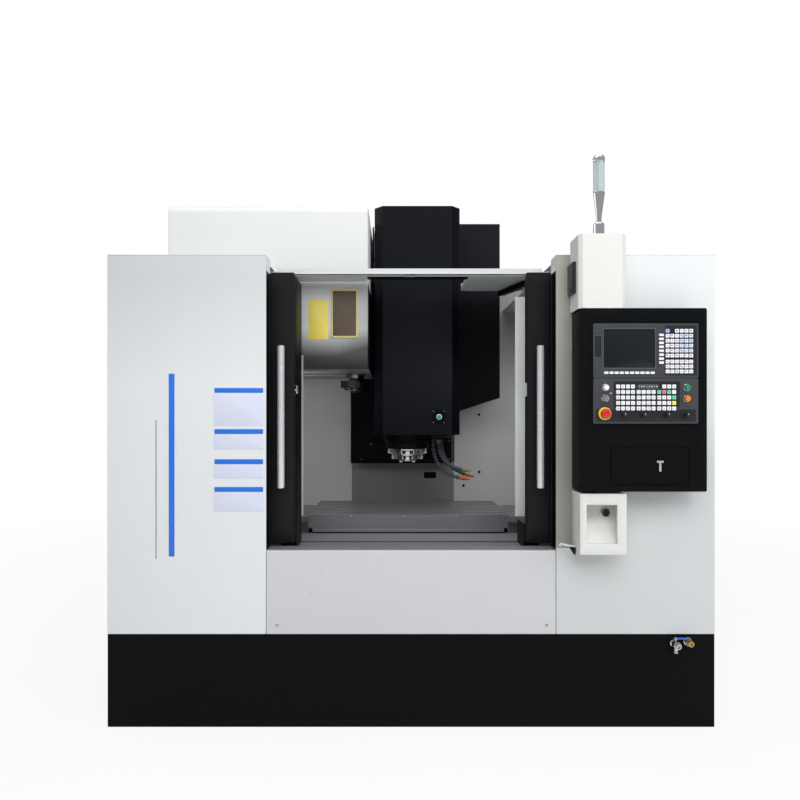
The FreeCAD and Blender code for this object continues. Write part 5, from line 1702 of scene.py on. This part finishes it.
class MACHINE_OT_knobs(bpy.types.Operator):
    """Flute the four override knobs and mark their pointers"""

    bl_idname = "machine.knobs"
    bl_label = "Override knobs"

    def execute(self, context):
        for number in range(1, 5):
            node = "override_knob_%d" % number
            low, high = span(node)
            x, z = (low.x + high.x) / 2, (low.z + high.z) / 2
            radius = min(high.x - low.x, high.z - low.z) / 2
            tip, root = low.y, min(high.y, UNIT_FACE)
            form = Form(node + "_body").use("knob")
            form.rings([
                [
                    (x + (size - depth * (0.5 - 0.5 * math.cos(FLUTES * a))) * math.cos(a), along,
                     z + (size - depth * (0.5 - 0.5 * math.cos(FLUTES * a))) * math.sin(a))
                    for a in [2 * math.pi * i / (8 * FLUTES) for i in range(8 * FLUTES)]
                ]
                for along, size, depth in (
                    (root, radius, 0.0), (root - 3, radius, 0.0), (root - 4, radius * 0.9, 0.9),
                    (tip + 2.5, radius * 0.84, 0.9), (tip + 0.8, radius * 0.78, 0.4),
                    (tip, radius * 0.7, 0.0),
                )
            ])
            near, far = z + radius * 0.15, z + radius * 0.66
            pointer = [(x - 0.8, near), (x + 0.8, near), (x + 0.8, far), (x - 0.8, far)]
            form.use("scale").plate(pointer, "y", tip - 0.15, tip + 0.5)
            form.made(node, [node], "black_knob")
        return {"FINISHED"}


class MACHINE_OT_duct(bpy.types.Operator):
    """Fold the duct box over the console and screw on its service box"""

    bl_idname = "machine.duct"
    bl_label = "Duct box"

    def section(self, inset):
        """The box's outline from its right edge round its two chamfers, set in by a distance."""
        x0, x1, y = 654 + inset, 844 - inset, span("duct_box")[0].y + inset
        near, far = 14 - inset, 22 - inset
        return [(x1, FRONT), (x1, y + far), (x1 - far, y), (x0 + near, y), (x0, y + near), (x0, FRONT)]

    def execute(self, context):
        low, high = span("duct_box")
        foot, top = low.z, high.z
        left, right, front = 654, 844, low.y
        form = Form("duct_sheet").use("duct")
        form.fold(self.section(0)[::-1], "z", foot, top - 1, radius=4)
        form.plate(self.section(0.5)[::-1], "z", top - 3, top, soft=1.0)
        form.use("dark screw").screws(right, -1060, (1740, 1850, 1960), "x", 1, 5)
        form.use("rubber")
        form.block(left + 4, right - 4, FRONT - 3, FRONT - 0.2, foot + 4, top - 4, soft=0.6)
        form.use("knob")
        form.block(642, 654.5, -1092, -1012, 1768, 1893, soft=2.2)
        form.lathe([(9, 1), (9, -3), (7.5, -4), (7.5, -11), (6, -12)], (642, -1080, 1782), "x", 28)
        form.use("dark screw").screws(642, (-1084, -1020), (1798, 1885), "x", -1, 3)
        form.made("machine", ["duct_box"], "light_sheet")
        return {"FINISHED"}


class MACHINE_OT_niche(bpy.types.Operator):
    """Fold the niche box with its pocket, its round socket and its hook"""

    bl_idname = "machine.niche"
    bl_label = "Niche box"

    def execute(self, context):
        x0, x1, front = 661, 843, -1125
        z0, z1 = NICHE_LOW.z, NICHE_HIGH.z
        n0, n1 = 686, 807
        lip = front + 2
        flare = n1 + 19
        form = Form("niche_sheet").use("duct")
        opening = rounded(n0, n1, 775, 929, 3)
        form.plate(rounded(x0, x1, z0, z1, 5), "y", front, front + SHEET, [opening], 1.0)
        walls = rounded(x0 + 3, x1 - 3, z0 + 3, z1 - 3, 4)
        form.plate(rounded(x0, x1, z0, z1, 5), "y", front + SHEET - 0.5, FRONT - 0.4, [walls], 0.8)
        floor = [(lip, 772), (-1106, 772), (-1038, 875), (-1038, 931), (-1041, 931), (-1041, 877)]
        form.plate([*floor, (-1107, 775), (lip, 775)], "x", n0 - 1, flare)
        form.plate([(lip, 929), (-1038, 929), (-1038, 932), (lip, 932)], "x", n0 - 1, flare)
        left = [(lip, 773), (-1108, 773), (-1040, 876), (-1040, 930), (lip, 930)]
        form.plate(left, "x", n0 - 3, n0)
        form.plate([(n1, lip), (n1 + 3, lip), (flare + 3, -1040), (flare, -1040)], "z", 773, 930)
        socket = (785, -1041, 888)
        rim = [(21, 0), (21, -3.5), (19, -5), (17, -5), (17, -14), (16, -15), (16, -6)]
        form.use("fitting").lathe(rim, socket, "y", 44)
        form.use("recess")
        form.plate(circle(785, 888, 16.4, 6), "y", -1055, -1045, [circle(785, 888, 12.6, 24)], 0.9)
        form.lathe([(12.2, -6), (12.2, -12), (6, -12), (6, -8)], socket, "y", 28)
        form.made("machine", ["niche_box"], "light_sheet")

        form = Form("niche_hook").use("tube")
        route = ((664, 752), (640, 755), (618, 760), (606, 762), (600, 760), (596, 755))
        form.pipe([Vector((x, -1060, z)) for x, z in route], [4.4] * len(route), 16)
        tab = [(636, 749), (x0, 749), (x0, 720), (x0 - 6, 720)]
        form.use("dark screw").plate(tab, "y", -1066, -1054, soft=0.8)
        form.made("machine")
        return {"FINISHED"}


class MACHINE_OT_signal(bpy.types.Operator):
    """Turn the signal light: collar, neck, flared base, clear tube and cap"""

    bl_idname = "machine.signal"
    bl_label = "Signal light"

    def execute(self, context):
        middle = (LIGHT_LOW + LIGHT_HIGH) / 2
        centre = (middle.x, middle.y, LIGHT_LOW.z)
        foot, top = 180, 303
        form = Form("signal_base").use("chrome")
        neck = [(21.5, 0), (21.5, 52), (20, 54), (17, 58), (11, 60), (11, 82), (23, 172), (23.5, 177)]
        form.lathe([*neck, (22.8, foot), (14, foot)], centre, "z", 56)
        cap = [(14, top), (22.8, top), (23.5, 306), (23.5, 318), (22, 321), (17, 329), (8, 330.5)]
        form.lathe(cap, centre, "z", 56)
        form.made("machine", ["signal_light"], "lamp")
        form = Form("signal_tube").use("lens")
        heights = [foot + (top - foot) * i / 24 for i in range(25)]
        outer = [(22.3 - (0.35 if i % 2 else 0.0), z) for i, z in enumerate(heights)]
        form.lathe([*outer, *[(19.6, z) for z in heights[::-1]], outer[0]], centre, "z", 56)
        form.made("machine")
        form = Form("signal_core").use("scale")
        form.lathe([(9, foot), (9, top)], centre, "z", 24)
        form.use("bezel")
        for z in range(186, 292, 15):
            form.lathe([(9, z), (10.6, z + 1), (10.6, z + 3), (9, z + 4)], centre, "z", 24)
        form.made("machine")
        return {"FINISHED"}


# ---- table and way covers -------------------------------------------------------------------
class MACHINE_OT_table_fittings(bpy.types.Operator):
    """Screw the table's front plate, and close its gap to the front cover with a plate and a wiper lip"""

    bl_idname = "machine.table_fittings"
    bl_label = "Table fittings"

    def execute(self, context):
        form = Form("table_front_screws").use("chrome")
        for x in (-286, -21, 244, 480):
            form.screw((x, TABLE_LOW.y, 774), "y", -1, 6)
        form.made("table")

        # a plate and its wiper lip close the gap between the table and the front cover
        x0, x1, y = TABLE_LOW.x + 20, TABLE_HIGH.x - 20, TABLE_LOW.y
        form = Form("table_front_wiper").use("apron cover")
        form.block(x0, x1, y + 2, y + 6, APRON_TOP + 7, TABLE_HIGH.z - TABLE_EDGE, soft=0.6)
        form.use("rubber")
        form.block(x0, x1, y + 3, y + 5, APRON_TOP + 1, APRON_TOP + 8, soft=0.5)
        form.made("table")
        return {"FINISHED"}


# ---- rear -----------------------------------------------------------------------------------
class MACHINE_OT_cabinet(bpy.types.Operator):
    """Fit the electrical cabinet's louvres, locks, cable glands and gland plate"""

    bl_idname = "machine.cabinet"
    bl_label = "Electrical cabinet"

    def execute(self, context):
        low, high = span("cabinet_door")
        face = high.y
        heights = (520, 1140, 1760)
        form = Form("cabinet_door_fittings").use("cabinet")
        for foot in (520, 1500):
            for left, right in ((-340, -60), (60, 340)):
                form.louvres(left, right, foot, 24, "y", face - 0.5, face + 3.5, 1.6)
        form.use("knob")
        for z in heights:
            plate = rounded(high.x - 74, high.x - 34, z - 24, z + 24, 8)
            form.plate(plate, "y", face - 0.5, face + 2.5, soft=0.8)
        form.use("chrome")
        for z in heights:
            lock = [(11, 2.4), (11, 3.6), (9, 4.2), (4, 4.2), (4, 3.0)]
            form.lathe(lock, (high.x - 54, face, z), "y", 32)
        form.made("cabinet_door")

        low, high = span("rear_cabinet")
        form = Form("cabinet_fittings").use("rubber")
        for x in (-420, -360, -300, -240):
            form.lathe([(20, 0), (20, -6), (16, -8), (16, -20), (13, -24)], (x, 1030, low.z), "z", 28)
        form.use("cabinet").plate(rounded(-470, -190, 980, 1080, 8), "z", low.z - 2, low.z + 0.5, soft=0.8)
        form.use("dark screw").screws((-580, 580), (920, 1100), high.z, "z", 1, 7)
        form.made("machine")
        return {"FINISHED"}


# ---- panel and order ------------------------------------------------------------------------
OPERATORS = (
    MACHINE_OT_finishes,
    MACHINE_OT_side_sheets,
    MACHINE_OT_side_graphics,
    MACHINE_OT_sill,
    MACHINE_OT_skirt,
    MACHINE_OT_roof,
    MACHINE_OT_doors,
    MACHINE_OT_handles,
    MACHINE_OT_guard_fittings,
    MACHINE_OT_head_cover,
    MACHINE_OT_spindle_ring,
    MACHINE_OT_coolant_pipes,
    MACHINE_OT_changer_cover,
    MACHINE_OT_changer_window,
    MACHINE_OT_tool_arm,
    MACHINE_OT_console,
    MACHINE_OT_display,
    MACHINE_OT_machine_keys,
    MACHINE_OT_buttons,
    MACHINE_OT_knobs,
    MACHINE_OT_duct,
    MACHINE_OT_niche,
    MACHINE_OT_signal,
    MACHINE_OT_table_fittings,
    MACHINE_OT_cabinet,
    MACHINE_OT_stage,
)


class MACHINE_PT_looks(bpy.types.Panel):
    """Lists the steps in the order they run"""

    bl_idname = "MACHINE_PT_looks"
    bl_label = "Machining center"
    bl_space_type = "VIEW_3D"
    bl_region_type = "UI"
    bl_category = "Machine"

    def draw(self, context):
        scene = context.scene
        for title, group in (("Colours", scene.machine_colours), ("Sizes", scene.machine_sizes),
                             ("Lights", scene.machine_lights)):
            box = self.layout.box()
            box.label(text=title)
            for name in group.bl_rna.properties.keys():
                if name not in ("rna_type", "name"):
                    box.prop(group, name)
        column = self.layout.column(align=True)
        for step in OPERATORS:
            column.operator(step.bl_idname, text=step.bl_label)


GROUPS = (
    ("machine_colours", MachineColours),
    ("machine_sizes", MachineSizes),
    ("machine_lights", MachineLights),
)


def register():
    for name, group in GROUPS:
        bpy.utils.register_class(group)
        setattr(bpy.types.Scene, name, bpy.props.PointerProperty(type=group))
    for step in (*OPERATORS, MACHINE_PT_looks):
        bpy.utils.register_class(step)


def unregister():
    for step in reversed((*OPERATORS, MACHINE_PT_looks)):
        bpy.utils.unregister_class(step)
    for name, group in reversed(GROUPS):
        delattr(bpy.types.Scene, name)
        bpy.utils.unregister_class(group)


def main():
    register()
    for step in OPERATORS:
        group, name = step.bl_idname.split(".")
        if "FINISHED" not in getattr(getattr(bpy.ops, group), name)():
            raise RuntimeError(step.bl_label + " did not finish")


if __name__ == "__main__":
    main()
